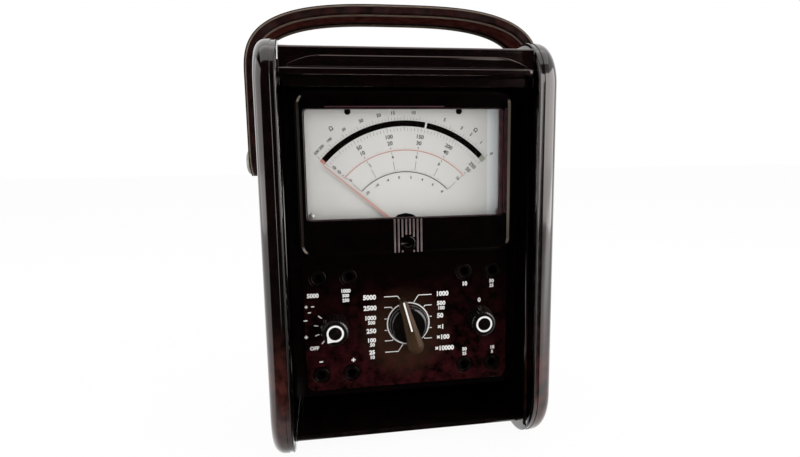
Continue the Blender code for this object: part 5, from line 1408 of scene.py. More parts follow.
@dataclass
class Face:
    """The instrument panel: plate, control field, raised bezel and ribbed strip."""

    half_width: float = 63.0
    bottom: float = 30.5
    top: float = 203.0
    plate_front: float = 24.6
    plate_back: float = 27.6
    field_depth: float = 23.4
    field_half: float = 56.5
    field_bottom: float = 34.0
    field_corner: float = 5.0
    bezel_depth: float = 20.0
    bezel_half: float = 57.0
    bezel_bottom: float = 109.0
    bezel_top: float = 194.0
    bezel_corner: float = 6.4
    bezel_edge: float = 0.6
    window_half: float = 52.6
    window_bottom: float = 128.2
    window_top: float = 185.3
    window_corner: float = 2.2
    rebate: float = 2.4
    rebate_depth: float = 23.0
    hub: Pair = (0.0, 120.2)
    hub_radius: float = 12.5
    hub_depth: float = 25.6
    rib_count: int = 8
    rib_pitch: float = 2.05
    rib_width: float = 0.95
    rib_rise: float = 0.45
    bushing_hole: float = 5.0
    jack_hole: float = 4.6
    jack_columns: tuple[float, ...] = (-48.3, -32.0, 32.0, 48.3)
    jack_rows: tuple[float, ...] = (43.0, 97.2)
    screw_hole: float = 4.8
    well_edge: float = 5.0
    # Width of the reddish band on the window's right wall, a painted highlight.
    wall_glint: float = 1.9
    ridge: tuple[Pair, ...] = ((0.9, -0.2), (0.95, 0.95), (1.2, 1.08), (2.45, -0.14))

    @property
    def knob_places(self) -> list[Pair]:
        """Where the three shafts come through."""
        return [joint_place(name) for name in (
            "range_switch_turn", "function_switch_turn", "zero_ohms_turn"
        )]

    @property
    def jack_places(self) -> list[Pair]:
        """Where the eight sockets sit, row by row."""
        return [(x, z) for z in self.jack_rows for x in self.jack_columns]

    def window(self, growth: float) -> list[Pair]:
        """The window opening's outline, grown all round."""
        corner = self.window_corner + growth
        return rounded(
            -self.window_half - growth, self.window_half + growth, self.window_bottom - growth,
            self.window_top + growth, corner, corner,
        )

    def holes(self, bushing: float, jack: float, rows: Sequence[float]) -> list[list[Pair]]:
        """Outlines of the round holes."""
        shafts = [circle(spot, bushing) for spot in self.knob_places]
        return shafts + [circle((x, z), jack) for x, z in self.jack_places if z in rows]

    def plate(self) -> Form:
        """The plate behind the field and bezel."""
        outline = rounded(-self.half_width, self.half_width, self.bottom, self.top, 1.2, 1.2, 3)
        opening = rounded(
            -self.window_half - self.rebate, self.window_half + self.rebate,
            self.window_bottom - self.rebate, self.window_top + self.rebate, 4.6, 4.6,
        )
        screw = circle(joint_place("zero_adjust_turn"), self.screw_hole)
        loops = [outline, opening, screw, *self.holes(self.bushing_hole, self.jack_hole, self.jack_rows)]
        return Form().include(slab(loops, self.plate_front, self.plate_back))

    def pad(self) -> Form:
        """The raised control field."""
        outline = rounded(
            -self.field_half, self.field_half, self.field_bottom, self.bezel_bottom + 3.0,
            self.field_corner, 1.0,
        )
        loops = [outline, *self.holes(self.bushing_hole, self.jack_hole, self.jack_rows)]
        return Form().include(slab(loops, self.field_depth, self.plate_front + 0.8, 0.5))

    def bezel(self) -> Form:
        """The bezel round the window, with a rounded rim and a bevelled opening."""
        outline = rounded(
            -self.bezel_half, self.bezel_half, self.bezel_bottom, self.bezel_top, self.bezel_corner,
            self.bezel_corner,
        )
        back = self.plate_front + 1.6
        return Form().include(
            slab([outline, self.window(0.0)], self.bezel_depth, back, self.bezel_edge, 5)
        )

    def screw_well(self) -> bpy.types.Object:
        """The solid that cuts the well of the zero screw."""
        profile = [(self.screw_hole, self.bezel_depth - 2.0), (self.screw_hole, self.plate_front + 3.0)]
        return Form().turned(profile, joint_place("zero_adjust_turn")).piece("well_tool")

    def ribs(self) -> Form:
        """The upright ribs below the window, interrupted by the zero screw's well."""
        low, high = self.bezel_bottom + self.bezel_edge + 0.2, self.window_bottom - 0.4
        half = self.rib_width / 2
        well_x, well_z = joint_place("zero_adjust_turn")
        form = Form()
        for index in range(self.rib_count):
            x = (index - (self.rib_count - 1) / 2) * self.rib_pitch
            inside = self.well_edge ** 2 - (abs(x - well_x) + half) ** 2
            gap = math.sqrt(inside) if inside > 0 else 0.0
            for start, end in ((low, well_z - gap), (well_z + gap, high)) if gap else ((low, high),):
                if end - start > 2 * half:
                    outline = rounded(x - half, x + half, start, end, 0.2, 0.2, 4)
                    form.include(slab(
                        [outline], self.bezel_depth - self.rib_rise, self.bezel_depth + 0.7, half * 0.8
                    ))
        return form

    def bead(self) -> Form:
        """The fine ridge along the bezel's edge, with its slope towards the window."""
        rings = []
        straight_half = self.bezel_half - self.bezel_corner
        middle, height = (self.bezel_bottom + self.bezel_top) / 2, self.bezel_top - self.bezel_bottom
        for inset, rise in self.ridge:
            ring = []
            for x, z in rounded(
                -self.bezel_half + inset, self.bezel_half - inset, self.bezel_bottom + inset,
                self.bezel_top - inset, self.bezel_corner - inset, self.bezel_corner - inset,
            ):
                aside = max(abs(x) - straight_half, 0.0)
                above = max(abs(z - middle) - height / 2 + self.bezel_corner, 0.0)
                upright = (aside / max(math.hypot(aside, above), 1e-6)) ** 2
                ring.append((x, self.bezel_depth - min(rise, rise * (0.08 + 0.92 * upright)), z))
            rings.append(ring)
        return Form().skin(rings, looped=True)

    def painted_glints(self) -> Form:
        """Reddish bands on the window opening's wall, wider on its right side, and thin reddish strips on the bezel
        beside and above the window: painted highlights.
        """
        wall_glint = rounded(
            self.window_half - self.wall_glint, self.window_half + 0.05, self.window_bottom + 0.2,
            self.window_top - 0.2, 0.3, 0.3, 4,
        )
        ring = slab([self.window(0.05), self.window(-0.3)], 21.4, 23.25)
        form = Form().include(ring).include(slab([wall_glint], 20.9, 23.2, 0.2))
        # Thin reddish strips on the bezel beside and above the window: painted highlights.
        beside = rounded(
            self.window_half + 0.5, self.window_half + 2.3, self.window_bottom + 1.0, self.window_top, 0.8, 0.8
        )
        above = rounded(-42.0, 20.0, self.window_top + 0.5, self.window_top + 1.1, 0.25, 0.25, 4)
        return form.include(slab([beside, above], self.bezel_depth - 0.04, self.bezel_depth + 0.4))

    def build(self) -> None:
        """Makes the panel's pieces."""
        plate = self.plate().piece("panel_plate", Finish.PANEL)
        settle(plate, Body.CASE, ["instrument_panel"])
        settle(self.pad().piece("control_field", Finish.FIELD), Body.CASE, ["instrument_panel"])
        bezel = carve(self.bezel().piece("meter_bezel", Finish.PANEL), self.screw_well())
        settle(bezel, Body.CASE, ["instrument_panel"])
        for form, name, finish in (
            (self.ribs(), "ribbed_strip", Finish.LIT_RIB), (self.bead(), "bezel_bead", Finish.BEAD),
            (self.painted_glints(), "window_painted_glints", Finish.RED_GLINT),
        ):
            settle(form.piece(name, finish), Body.CASE, ["instrument_panel"])
        self.sockets()

    def sockets(self) -> None:
        """The eight sockets and their metal sleeves."""
        spots = [place(x, self.field_depth + 0.2, z) for x, z in self.jack_places]
        nodes = [name for name in frame["nodes"] if name.startswith("jack_")]
        body = grow(
            "socket_bodies", SOCKETS, Finish.SOCKET, points_mesh(spots), Radius=0.0043, Rim=0.00055,
            Bore=0.00235, Length=0.0154, Mouth=0.0030,
        )
        settle(body, Body.CASE, nodes)
        # The sleeves are nearly black metal: painted shade inside the socket holes.
        inner = [place(x, self.field_depth + 3.2, z) for x, z in self.jack_places]
        sleeve = grow(
            "socket_sleeves", SOCKETS, Finish.TARNISH_AND_SHADE, points_mesh(inner), Radius=0.0023, Rim=0.0002,
            Bore=0.0019, Length=0.0120, Mouth=0.0020,
        )
        settle(sleeve, Body.CASE)


@dataclass
class MeterScale:
    """What is printed on the dial, and a paler strip of painted light down its right edge."""

    pivot: Pair = (0.0, 120.2)
    depth: float = 28.7
    ink: float = 0.05
    half_angle: float = 49.5
    main_radius: float = 58.0
    main_width: float = 3.1
    red_radius: float = 43.9
    low_radius: float = 32.3
    mid_ohms: float = 12.0

    def printed(self, name: str, loops: Sequence[Sequence[Pair]], finish: Finish) -> None:
        """Puts flat printing on the dial.

        Args:
            name: the piece's name.
            loops: its outlines, which don't overlap.
            finish: its ink.
        """
        form = Form().include(slab(loops, self.depth - self.ink, self.depth + self.ink))
        settle(form.piece(name, finish), Body.CASE)

    def arcs(self) -> None:
        """The bands and lines of the scales."""
        half, radius, width = self.half_angle, self.main_radius, self.main_width
        inner, outer = radius - width / 2, radius + width / 2
        pivot = self.pivot
        self.printed("scale_band_start", [band(pivot, inner, outer, -half, -half + 1.6, 3)], Finish.RED_INK)
        self.printed(
            "scale_band", [band(pivot, inner, outer, -half + 1.6, 11.2, 48),
                           band(pivot, inner, outer, 12.2, half - 3.0, 30)], Finish.BLACK_INK,
        )
        self.printed("scale_band_end", [band(pivot, inner, outer, half - 3.0, half, 4)], Finish.GREY_INK)
        self.printed("scale_line_red", [
            band(pivot, self.red_radius - 0.22, self.red_radius + 0.22, -48, 48, 60)
        ], Finish.RED_INK)
        self.printed("scale_line_low", [
            band(pivot, self.low_radius - 0.2, self.low_radius + 0.2, -46.5, 46.5, 60)
        ], Finish.BLACK_INK)
        dots = []
        for angle in (-47.0, -28.2, -9.4, 9.4, 28.2, 47.0):
            for start, count in ((33.8, 4), (42.4, 1), (45.2, 1)):
                dots += [band(pivot, r, r + 0.7, angle - 0.25, angle + 0.25, 1)
                         for r in (start + 1.2 * index for index in range(count))]
        self.printed("scale_dots", dots, Finish.BLACK_INK)

    def ticks(self) -> None:
        """The ticks of four scales."""
        rows = (
            ("ticks_outer", Finish.BLACK_INK, 61, 59.9, 1.1, 1.9, 5, 48.5),
            ("ticks_inner", Finish.BLACK_INK, 51, 54.0, 1.4, 2.4, 5, 48.5),
            ("ticks_red", Finish.RED_INK, 51, 44.1, 0.9, 1.6, 5, 48.0),
            ("ticks_low", Finish.BLACK_INK, 43, 32.5, 0.8, 1.4, 6, 46.5),
        )
        centre = tuple(place(self.pivot[0], self.depth, self.pivot[1]))
        for name, finish, count, radius, short, long, every, half in rows:
            piece = grow(
                name, TICKS, finish, Centre=centre, Count=count, Radius=radius * MM,
                Length=short * MM, Long_Length=long * MM, Long_Every=every, Width=0.16 * MM,
                Height=2 * self.ink * MM, Start=-math.radians(half), Sweep=math.radians(2 * half),
            )
            settle(piece, Body.CASE)

    def numbers(self) -> None:
        """The numbers along the scales."""
        form = Form()
        rows = (
            (51.4, 2.9, 47.0, ("0", "50", "100", "150", "200", "250")),
            (48.0, 2.9, 47.0, ("0", "10", "20", "30", "40", "50")),
            (40.6, 2.3, 46.0, ("0", "2", "4", "6", "8", "10")),
            (29.4, 2.0, 44.0, ("-20", "-10", "-4", "0", "2", "4", "6", "8")),
        )
        spots = [
            (radius, -half + 2 * half * index / (len(words) - 1), size, word)
            for radius, size, half, words in rows for index, word in enumerate(words)
        ]
        for word in ("500", "200", "100", "50", "30", "20", "15", "10", "5", "3", "2", "1", "0"):
            ohms = float(word)
            angle = self.half_angle * (self.mid_ohms - ohms) / (self.mid_ohms + ohms)
            spots.append((63.6, angle, 2.5 if ohms < 40 else 2.1, word))
        spots += [(67.6, -35.0, 3.0, "Ω"), (66.8, 36.0, 3.0, "Ω")]
        for radius, angle, size, word in spots:
            turn = math.radians(angle)
            spot = (
                self.pivot[0] + radius * math.sin(turn), 0.0, self.pivot[1] + radius * math.cos(turn),
            )
            form.include(text_mesh(word, size, self.depth, 2 * self.ink, angle), spot)
        settle(form.piece("dial_numbers", Finish.BLACK_INK), Body.CASE)

    def edge(self) -> None:
        """A paler, cooler strip down the dial's right edge: painted light."""
        outline = rounded(46.0, 51.8, 127.0, 187.0, 0.3, 0.3, 4)
        form = Form().include(slab([outline], self.depth - self.ink / 3, self.depth + self.ink))
        settle(form.piece("dial_painted_light", Finish.DIAL_PAINTED_LIGHT), Body.CASE)

    def build(self) -> None:
        """Prints the dial."""
        self.edge()
        self.arcs()
        self.ticks()
        self.numbers()


@dataclass
class Screws:
    """The slotted screws of the dial and the window, and the zero screw."""

    dial: tuple[tuple[Point, float], ...] = (((-30.0, 28.65, 184.4), 20.0), ((30.0, 28.65, 184.4), -35.0))
    window: tuple[tuple[Point, float], ...] = (((-50.5, 23.25, 130.3), 70.0), ((50.5, 23.25, 130.3), -40.0))
    zero_face: float = 20.35

    def row(self, name: str, spots: Sequence[tuple[Point, float]], finish: Finish, head: float,
            nodes: Sequence[str], shank: float) -> None:
        """Makes two or more alike screws.

        Args:
            name: the piece's name.
            spots: each screw's place and the turn of its slot.
            finish: its metal.
            head: radius of its head.
            nodes: the CAD nodes that it stands for.
            shank: its length.
        """
        points = points_mesh([place(*spot) for spot, _ in spots], [turn for _, turn in spots])
        piece = grow(
            name, SCREWS, finish, points, Head_Radius=head * MM, Head_Height=0.85 * MM,
            Slot_Width=0.42 * MM, Slot_Depth=0.42 * MM, Shank_Radius=0.8 * MM, Shank_Length=shank * MM,
        )
        settle(piece, Body.CASE, nodes)

    def zero_screw(self) -> None:
        """The slotted zero screw below the window."""
        x, z = joint_place("zero_adjust_turn")
        box = Box.of("zero_adjust_screw")
        radius = (box.right - box.left) / 2
        face = box.front
        profile = [
            (0.0, 0.0), (radius - 1.0, 0.0), (radius - 0.45, 0.12), (radius - 0.1, 0.42), (radius, 0.85),
            (radius, 6.2), (0.0, 6.2),
        ]
        head = Form().turned(profile, (x, z), middle=face).piece("zero_screw_head", Finish.PANEL)
        slot = Form().include(slab([
            rounded(x - 3.6, x + 3.6, z - 0.65, z + 0.65, 0.6, 0.6, 4)
        ], face - 1.0, face + 1.5)).piece("slot_tool")
        carve(head, slot)
        settle(head, Body.ADJUSTER, ["zero_adjust_screw"])

    def build(self) -> None:
        """Makes every screw."""
        self.row(
            "dial_screws", self.dial, Finish.TARNISH_AND_SHADE, 1.7, ("dial_screw_left", "dial_screw_right"), 2.4
        )
        self.row(
            "window_screws", self.window, Finish.SCREW, 1.6,
            ("window_screw_left", "window_screw_right"), 2.2,
        )
        self.zero_screw()


# Controls


@dataclass
class RangeKnob:
    """The bar knob on a round skirt, with a white index line."""

    turn: float = -15.0
    skirt_radius: float = 10.6
    skirt_front: float = 18.4
    bar_front: float = 13.5
    back: float = 22.9
    tip: float = 16.0
    tail: float = 15.5
    tip_width: float = 4.4
    tail_width: float = 8.7
    index_width: float = 0.9
    ridge: float = 0.24
    slope: float = 0.53

    def bar(self, spot: Pair) -> list[list[Point]]:
        """The ridged bar.

        Args:
            spot: the knob's middle.

        Returns:
            Its rings, from the ridge to the foot.
        """
        x, z = spot
        tip, tail = self.tip_width / 2, self.tail_width / 2
        rings = []
        for share, drop in ((self.ridge, 0.0), (0.60, 0.0), (0.92, 0.0), (0.98, 0.2), (1.0, 0.6), (1.04, 6.0)):
            ring = []
            for middle, radius, start, steps in (
                (z + self.tip - tip, tip, 0, 14), (z - self.tail + tail, tail, 180, 24),
            ):
                depth = self.bar_front + self.slope * radius * (share - self.ridge) + drop
                side = arc((x, middle), radius * share, start, start + 180, steps)
                ring += [(px, min(depth, self.skirt_front + 2.0), pz) for px, pz in side]
            rings.append(ring)
        return rings

    def build(self) -> None:
        """Makes the knob and its index."""
        spot = joint_place("range_switch_turn")
        profile = [
            (0.0, self.skirt_front), (self.skirt_radius - 2.6, self.skirt_front),
            (self.skirt_radius - 1.3, self.skirt_front + 0.35), (self.skirt_radius - 0.4, self.skirt_front + 1.2),
            (self.skirt_radius, self.skirt_front + 2.4), (self.skirt_radius, self.back), (0.0, self.back),
        ]
        x, z = spot
        line = stroke([(x, z - 1.6), (x, z + self.tip - 0.9)], self.index_width)
        index = slab([line], self.bar_front - 0.05, self.bar_front + 0.2)
        for form, name, finish, slot, nodes in (
            (Form().turned(profile, spot), "range_knob_skirt", Finish.KNOB, "knob", ["range_knob"]),
            (Form().skin(self.bar(spot)), "range_knob_bar", Finish.BAR, "knob", ["range_knob"]),
            (Form().include(index), "range_index", Finish.WHITE_INK, None, ()),
        ):
            settle(form.turn(spot, self.turn).piece(name, finish), Body.RANGE, nodes)


@dataclass
class SideKnob:
    """A small fluted knob with a white ring on its face."""

    name: str
    joint: str
    node: str
    body: Body
    turn: float
    radius: float = 8.0
    crown: float = 7.0
    front: float = 13.5
    back: float = 22.9
    ring: Pair = (3.5, 4.5)
    flutes: int = 24
    teardrop: bool = True

    def rim(self, spot: Pair, radius: float, share: float) -> list[Pair]:
        """The fluted outline at a radius."""
        count = self.flutes * 8
        points = []
        for index in range(count):
            angle = 2 * math.pi * index / count
            dip = 0.32 * share * (0.5 - 0.5 * math.cos(self.flutes * angle)) ** 2
            points.append((spot[0] + (radius - dip) * math.cos(angle), spot[1] + (radius - dip) * math.sin(angle)))
        return points

    def build(self) -> None:
        """Makes the knob and its ring."""
        spot = joint_place(self.joint)
        rings = []
        for radius, depth, share in (
            (0.02, self.front, 0.0), (self.crown - 1.6, self.front, 0.0), (self.crown - 0.7, self.front + 0.15, 0.0),
            (self.crown - 0.15, self.front + 0.6, 0.4), (self.crown, self.front + 1.3, 1.0),
            (self.radius, self.back - 1.2, 1.0), (self.radius, self.back - 0.6, 0.5),
            (self.radius, self.back, 0.0), (0.02, self.back, 0.0),
        ):
            rings.append([(x, depth, z) for x, z in self.rim(spot, radius, share)])
        knob = Form().skin(rings).turn(spot, self.turn)
        settle(knob.piece(self.name, Finish.KNOB), self.body, [self.node])
        inner, outer = self.ring
        loops = [circle(spot, outer), circle(spot, inner)]
        if self.teardrop:
            edge = arc(spot, outer, 60, -240, 40)
            loops = [edge + [(spot[0], spot[1] + outer + 1.9)], circle(spot, inner)]
        mark = Form().include(slab(loops, self.front - 0.05, self.front + 0.2)).turn(spot, self.turn)
        settle(mark.piece(self.name + "_ring", Finish.WHITE_INK), self.body)


@dataclass
class PanelMarks:
    """The white ring, leader lines, position marks and plain numbers of the control field."""

    depth: float = 23.4
    ink: float = 0.06
    ring_radius: float = 11.65
    ring_width: float = 0.7
    line: float = 0.42

    def loops(self) -> list[list[Pair]]:
        """Outlines of the ring and lines."""
        x, z = joint_place("range_switch_turn")
        ring = [
            circle((x, z), self.ring_radius + self.ring_width / 2, 96),
            circle((x, z), self.ring_radius - self.ring_width / 2, 96),
        ]
        lines = []
        heights = (85.0, 79.0, 72.5, 66.0, 60.0, 53.5)
        for side in (-1, 1):
            for index, height in enumerate(heights):
                angle = math.radians(15 + 30 * index)
                start = self.ring_radius + self.ring_width / 2 + 0.35
                near = Vector((x + side * start * math.sin(angle), z + start * math.cos(angle)))
                rise = height - near.y
                knee = (near.x + side * abs(rise) * 0.7, height)
                if side > 0 and index == 5:
                    continue
                lines.append(stroke([tuple(near), knee, (side * 13.2, height)], self.line))
        for angle in (220, 250, 280, 310):
            a = math.radians(angle)
            fx, fz = joint_place("function_switch_turn")
            lines.append(stroke([
                (fx + 8.9 * math.sin(a), fz + 8.9 * math.cos(a)),
                (fx + 11.2 * math.sin(a), fz + 11.2 * math.cos(a)),
            ], 0.55))
        return ring + lines

    def numbers(self) -> Form:
        """The numbers and signs beside the controls and sockets."""
        form = Form()
        words = (
            (-21.2, 85.0, 3.2, "5000"), (-21.0, 79.0, 3.2, "2500"), (-21.0, 73.4, 2.9, "1000"),
            (-20.4, 70.7, 2.4, "500"), (-20.6, 66.0, 3.2, "250"), (-20.6, 60.7, 2.9, "100"),
            (-20.2, 58.1, 2.4, "50"), (-20.4, 53.8, 2.9, "25"), (-20.4, 51.0, 2.4, "10"),
            (19.2, 85.0, 3.2, "1000"), (18.6, 79.6, 2.9, "500"), (18.6, 76.9, 2.4, "100"),
            (18.0, 72.5, 3.2, "50"), (18.4, 66.0, 3.2, "×1"), (19.6, 60.0, 3.2, "×100"),
            (20.4, 53.5, 3.2, "×10000"), (-55.2, 81.6, 2.6, "+"), (-51.8, 81.6, 2.6, "−"),
            (-53.6, 78.6, 2.4, "~"), (-55.8, 74.0, 3.2, "−"), (-55.8, 64.8, 3.2, "+"),
            (-51.6, 58.4, 2.5, "OFF"), (40.5, 80.2, 3.0, "0"), (-48.3, 50.4, 3.2, "−"),
            (-30.8, 50.2, 3.6, "+"), (32.0, 52.0, 2.4, "50"), (32.0, 49.4, 2.2, "25"),
            (48.3, 52.0, 2.4, "10"), (48.3, 49.4, 2.2, "5"), (-51.5, 87.6, 2.8, "5000"),
            (-34.0, 89.4, 2.4, "1000"), (-34.0, 86.8, 2.2, "500"), (-34.0, 84.2, 2.2, "250"),
            (32.0, 90.0, 2.8, "10"), (47.6, 90.8, 2.4, "50"), (47.6, 88.2, 2.2, "25"),
        )
        for x, z, size, word in words:
            form.include(text_mesh(word, size * 1.1, self.depth, 2 * self.ink, weight=0.045), (x, 0.0, z))
        return form

    def build(self) -> None:
        """Prints the field."""
        lines = Form().include(slab(self.loops(), self.depth - self.ink, self.depth + self.ink))
        settle(lines.piece("field_lines", Finish.WHITE_INK), Body.CASE)
        settle(self.numbers().piece("field_numbers", Finish.WHITE_INK), Body.CASE)


# Roll front and handle


@dataclass
class RollFront:
    """The ribbed curtain in its track, the finger bar, and the slats that follow it down."""

    half_width: float = 67.1
    pitch: float = 7.9
    thickness: float = 3.4
    slats: int = 23
    start_angle: float = 47.0
    bar_half: float = 62.8
    scoop_half: float = 60.0
    scoop_taper: float = 17.0
    end_lift: float = 0.09
    leading_half: float = 62.8
    travel: float = 184.0
    track: Track = field(default_factory=Track)

    def along(self, case: Box, steps: float = 0.4) -> list[Vector]:
        """Close points along the track's middle, from the curtain's start to its end.

        Args:
            case: a cheek's box.
            steps: their spacing.

        Returns:
            The points, in metres.
        """
        corner, bend = self.track.corner, case.top - self.track.corner
        radius = corner - self.track.middle
        quarter = radius * math.pi / 2
        top = case.back - 2 * corner
        start = radius * math.radians(self.start_angle)
        count = round(self.slats * self.pitch / steps)
        points = []
        for index in range(count + 1):
            s = start + self.slats * self.pitch * index / count
            if s < quarter:
                a = math.pi - s / radius
                spot = (corner + radius * math.cos(a), bend + radius * math.sin(a))
            elif s < quarter + top:
                spot = (corner + s - quarter, bend + radius)
            elif s < 2 * quarter + top:
                a = math.pi / 2 - (s - quarter - top) / radius
                spot = (case.back - corner + radius * math.cos(a), bend + radius * math.sin(a))
            else:
                spot = (case.back - self.track.middle, bend - (s - 2 * quarter - top))
            points.append(place(0.0, *spot))
        return points

    def curtain(self, case: Box) -> None:
        """The rolled-back slats and the web that joins them."""
        line = self.along(case)
        trim = round(self.pitch / 2 / (self.slats * self.pitch) * (len(line) - 1))
        slats = grow(
            "curtain_slats", BAR_ROW, Finish.CURTAIN, points_mesh(line[trim:-trim], chained=True),
            Pitch=self.pitch * MM * 0.9999, Width=(self.pitch - 0.5) * MM, Thickness=self.thickness * MM,
            Round=1.25 * MM, Half_Length=self.half_width * MM,
        )
        settle(slats, Body.CASE, ["roll_front_curtain"])
        rings = []
        for before, spot, after in zip(line[:-2:4], line[1:-1:4], line[2::4]):
            out = Vector((1, 0, 0)).cross((after - before).normalized())
            depth, z = (spot.y - FRONT_Y) / MM, spot.z / MM
            rings.append([
                (x, depth - out.y * t, z - out.z * t)
                for x, t in ((-66.4, 0.2), (66.4, 0.2), (66.4, 1.0), (-66.4, 1.0))
            ])
        settle(Form().skin(rings).piece("curtain_web", Finish.STRAP), Body.CASE)

    def bar_profile(self, scoop: float) -> list[Pair]:
        """The finger bar's section, as depth and Z.

        Args:
            scoop: how much of the finger groove is there, 0 to 1.

        Returns:
            A closed outline.
        """
        front = [
            (9.1, 194.6), (9.1, 198.6), (9.2, 199.2), (6.6, 199.3), (5.6, 199.45), (5.15, 199.8),
            (5.0, 200.3), (5.0, 202.05), (5.08, 202.3), (5.75, 202.98),
        ]
        dents = [(203.1, 0.1), (203.16, 0.35), (203.3, 0.75), (203.6, 1.0), (204.4, 1.1), (205.8, 1.05),
                 (206.8, 0.75), (207.4, 0.3), (207.75, -0.1), (207.95, -0.25), (208.15, -0.21),
                 (208.5, 0.05), (208.7, 0.1)]
        face = 5.9
        groove = [(face + dent * scoop, 203.1 + (z - 203.1) * max(scoop, 0.04)) for z, dent in dents]
        lowered = 0.1 * scoop
        top = [(face + lowered, 209.4)] + [
            (7.4 - (7.4 - face - lowered) * math.cos(a), 210.6 + 2.4 * math.sin(a))
            for a in (math.radians(90 * i / 8) for i in range(9))
        ]
        back = [(8.6, 213.0), (9.2, 212.6), (9.2, 203.0), (9.25, 199.3), (12.2, 198.2), (12.4, 197.9), (12.4, 194.8),
                (12.2, 194.5), (9.4, 194.5)]
        return front + groove + top + back

    def bar(self) -> None:
        """The finger bar and the shoes that hold it in the track."""
        ends = [self.bar_half - 0.35, self.bar_half]
        taper = [self.scoop_half - self.scoop_taper * i / 24 for i in range(25)]
        xs = sorted({-x for x in ends + taper} | set(ends + taper) | {x * 7.0 for x in range(-6, 7)})
        rings = []
        for x in xs:
            along = min(max((self.scoop_half - abs(x)) / self.scoop_taper, 0.0), 1.0)
            scoop = math.sin(along * math.pi / 2) ** 0.8
            shrink = 0.3 if abs(x) > self.bar_half - 0.2 else 0.0
            lift = self.end_lift * max(abs(x) - self.scoop_half + 3.0, 0.0)
            ring = [
                (x, d + (shrink * 0.9 - (lift if z > 203.0 else 0.0) if d < 8 else -0.4 * shrink),
                 z + (shrink if z < 203 else -shrink))
                for d, z in self.bar_profile(scoop)
            ]
            rings.append(ring)
        form = Form().skin(rings)
        for side in (-1, 1):
            shoe = slab([rounded(
                min(side * 61.0, side * 67.1), max(side * 61.0, side * 67.1), 194.5, 197.6, 0.6, 0.6, 4
            )], 9.1, 12.4, 0.3)
            form.include(shoe)
        settle(form.piece("finger_bar", Finish.ROLL), Body.ROLL_FRONT, ["roll_front_bar"])

    def leading(self) -> None:
        """The slats that stretch down behind the bar as it closes."""
        box = Box.of("roll_front_leading_slats")
        start, end = box.top, box.bottom
        count = 23

        def height_of(share: float) -> float:
            """The rest height at which the smooth step reaches a share."""
            low, high = 0.0, 1.0
            for _ in range(40):
                t = (low + high) / 2
                low, high = (t, high) if t * t * (3 - 2 * t) < share else (low, t)
            return start + (end - start) * low

        shape = ((0.0, 1.0), (0.06, 0.45), (0.14, 0.12), (0.26, 0.0), (0.74, 0.0), (0.86, 0.12), (0.94, 0.45))
        rings = []
        front, back = box.front + 0.05, box.back
        for index in range(count):
            for share, dip in shape:
                z = height_of((index + share) / count)
                rings.append([
                    (-self.leading_half, front + dip, z), (self.leading_half, front + dip, z),
                    (self.leading_half, back, z), (-self.leading_half, back, z),
                ])
        rings.append([(x, d, end) for x, d in (
            (-self.leading_half, front + 1.0), (self.leading_half, front + 1.0),
            (self.leading_half, back), (-self.leading_half, back),
        )])
        piece = Form().skin(rings).piece("leading_slats", Finish.CURTAIN)
        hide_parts("roll_front_leading_slats")
        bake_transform(piece)
        LOG.info("%s: %d faces, blended", piece.name, len(piece.data.polygons))

    def build(self) -> None:
        """Makes every part of the roll front."""
        case = Box.of("cheek_left")
        self.curtain(case)
        self.bar()
        self.leading()


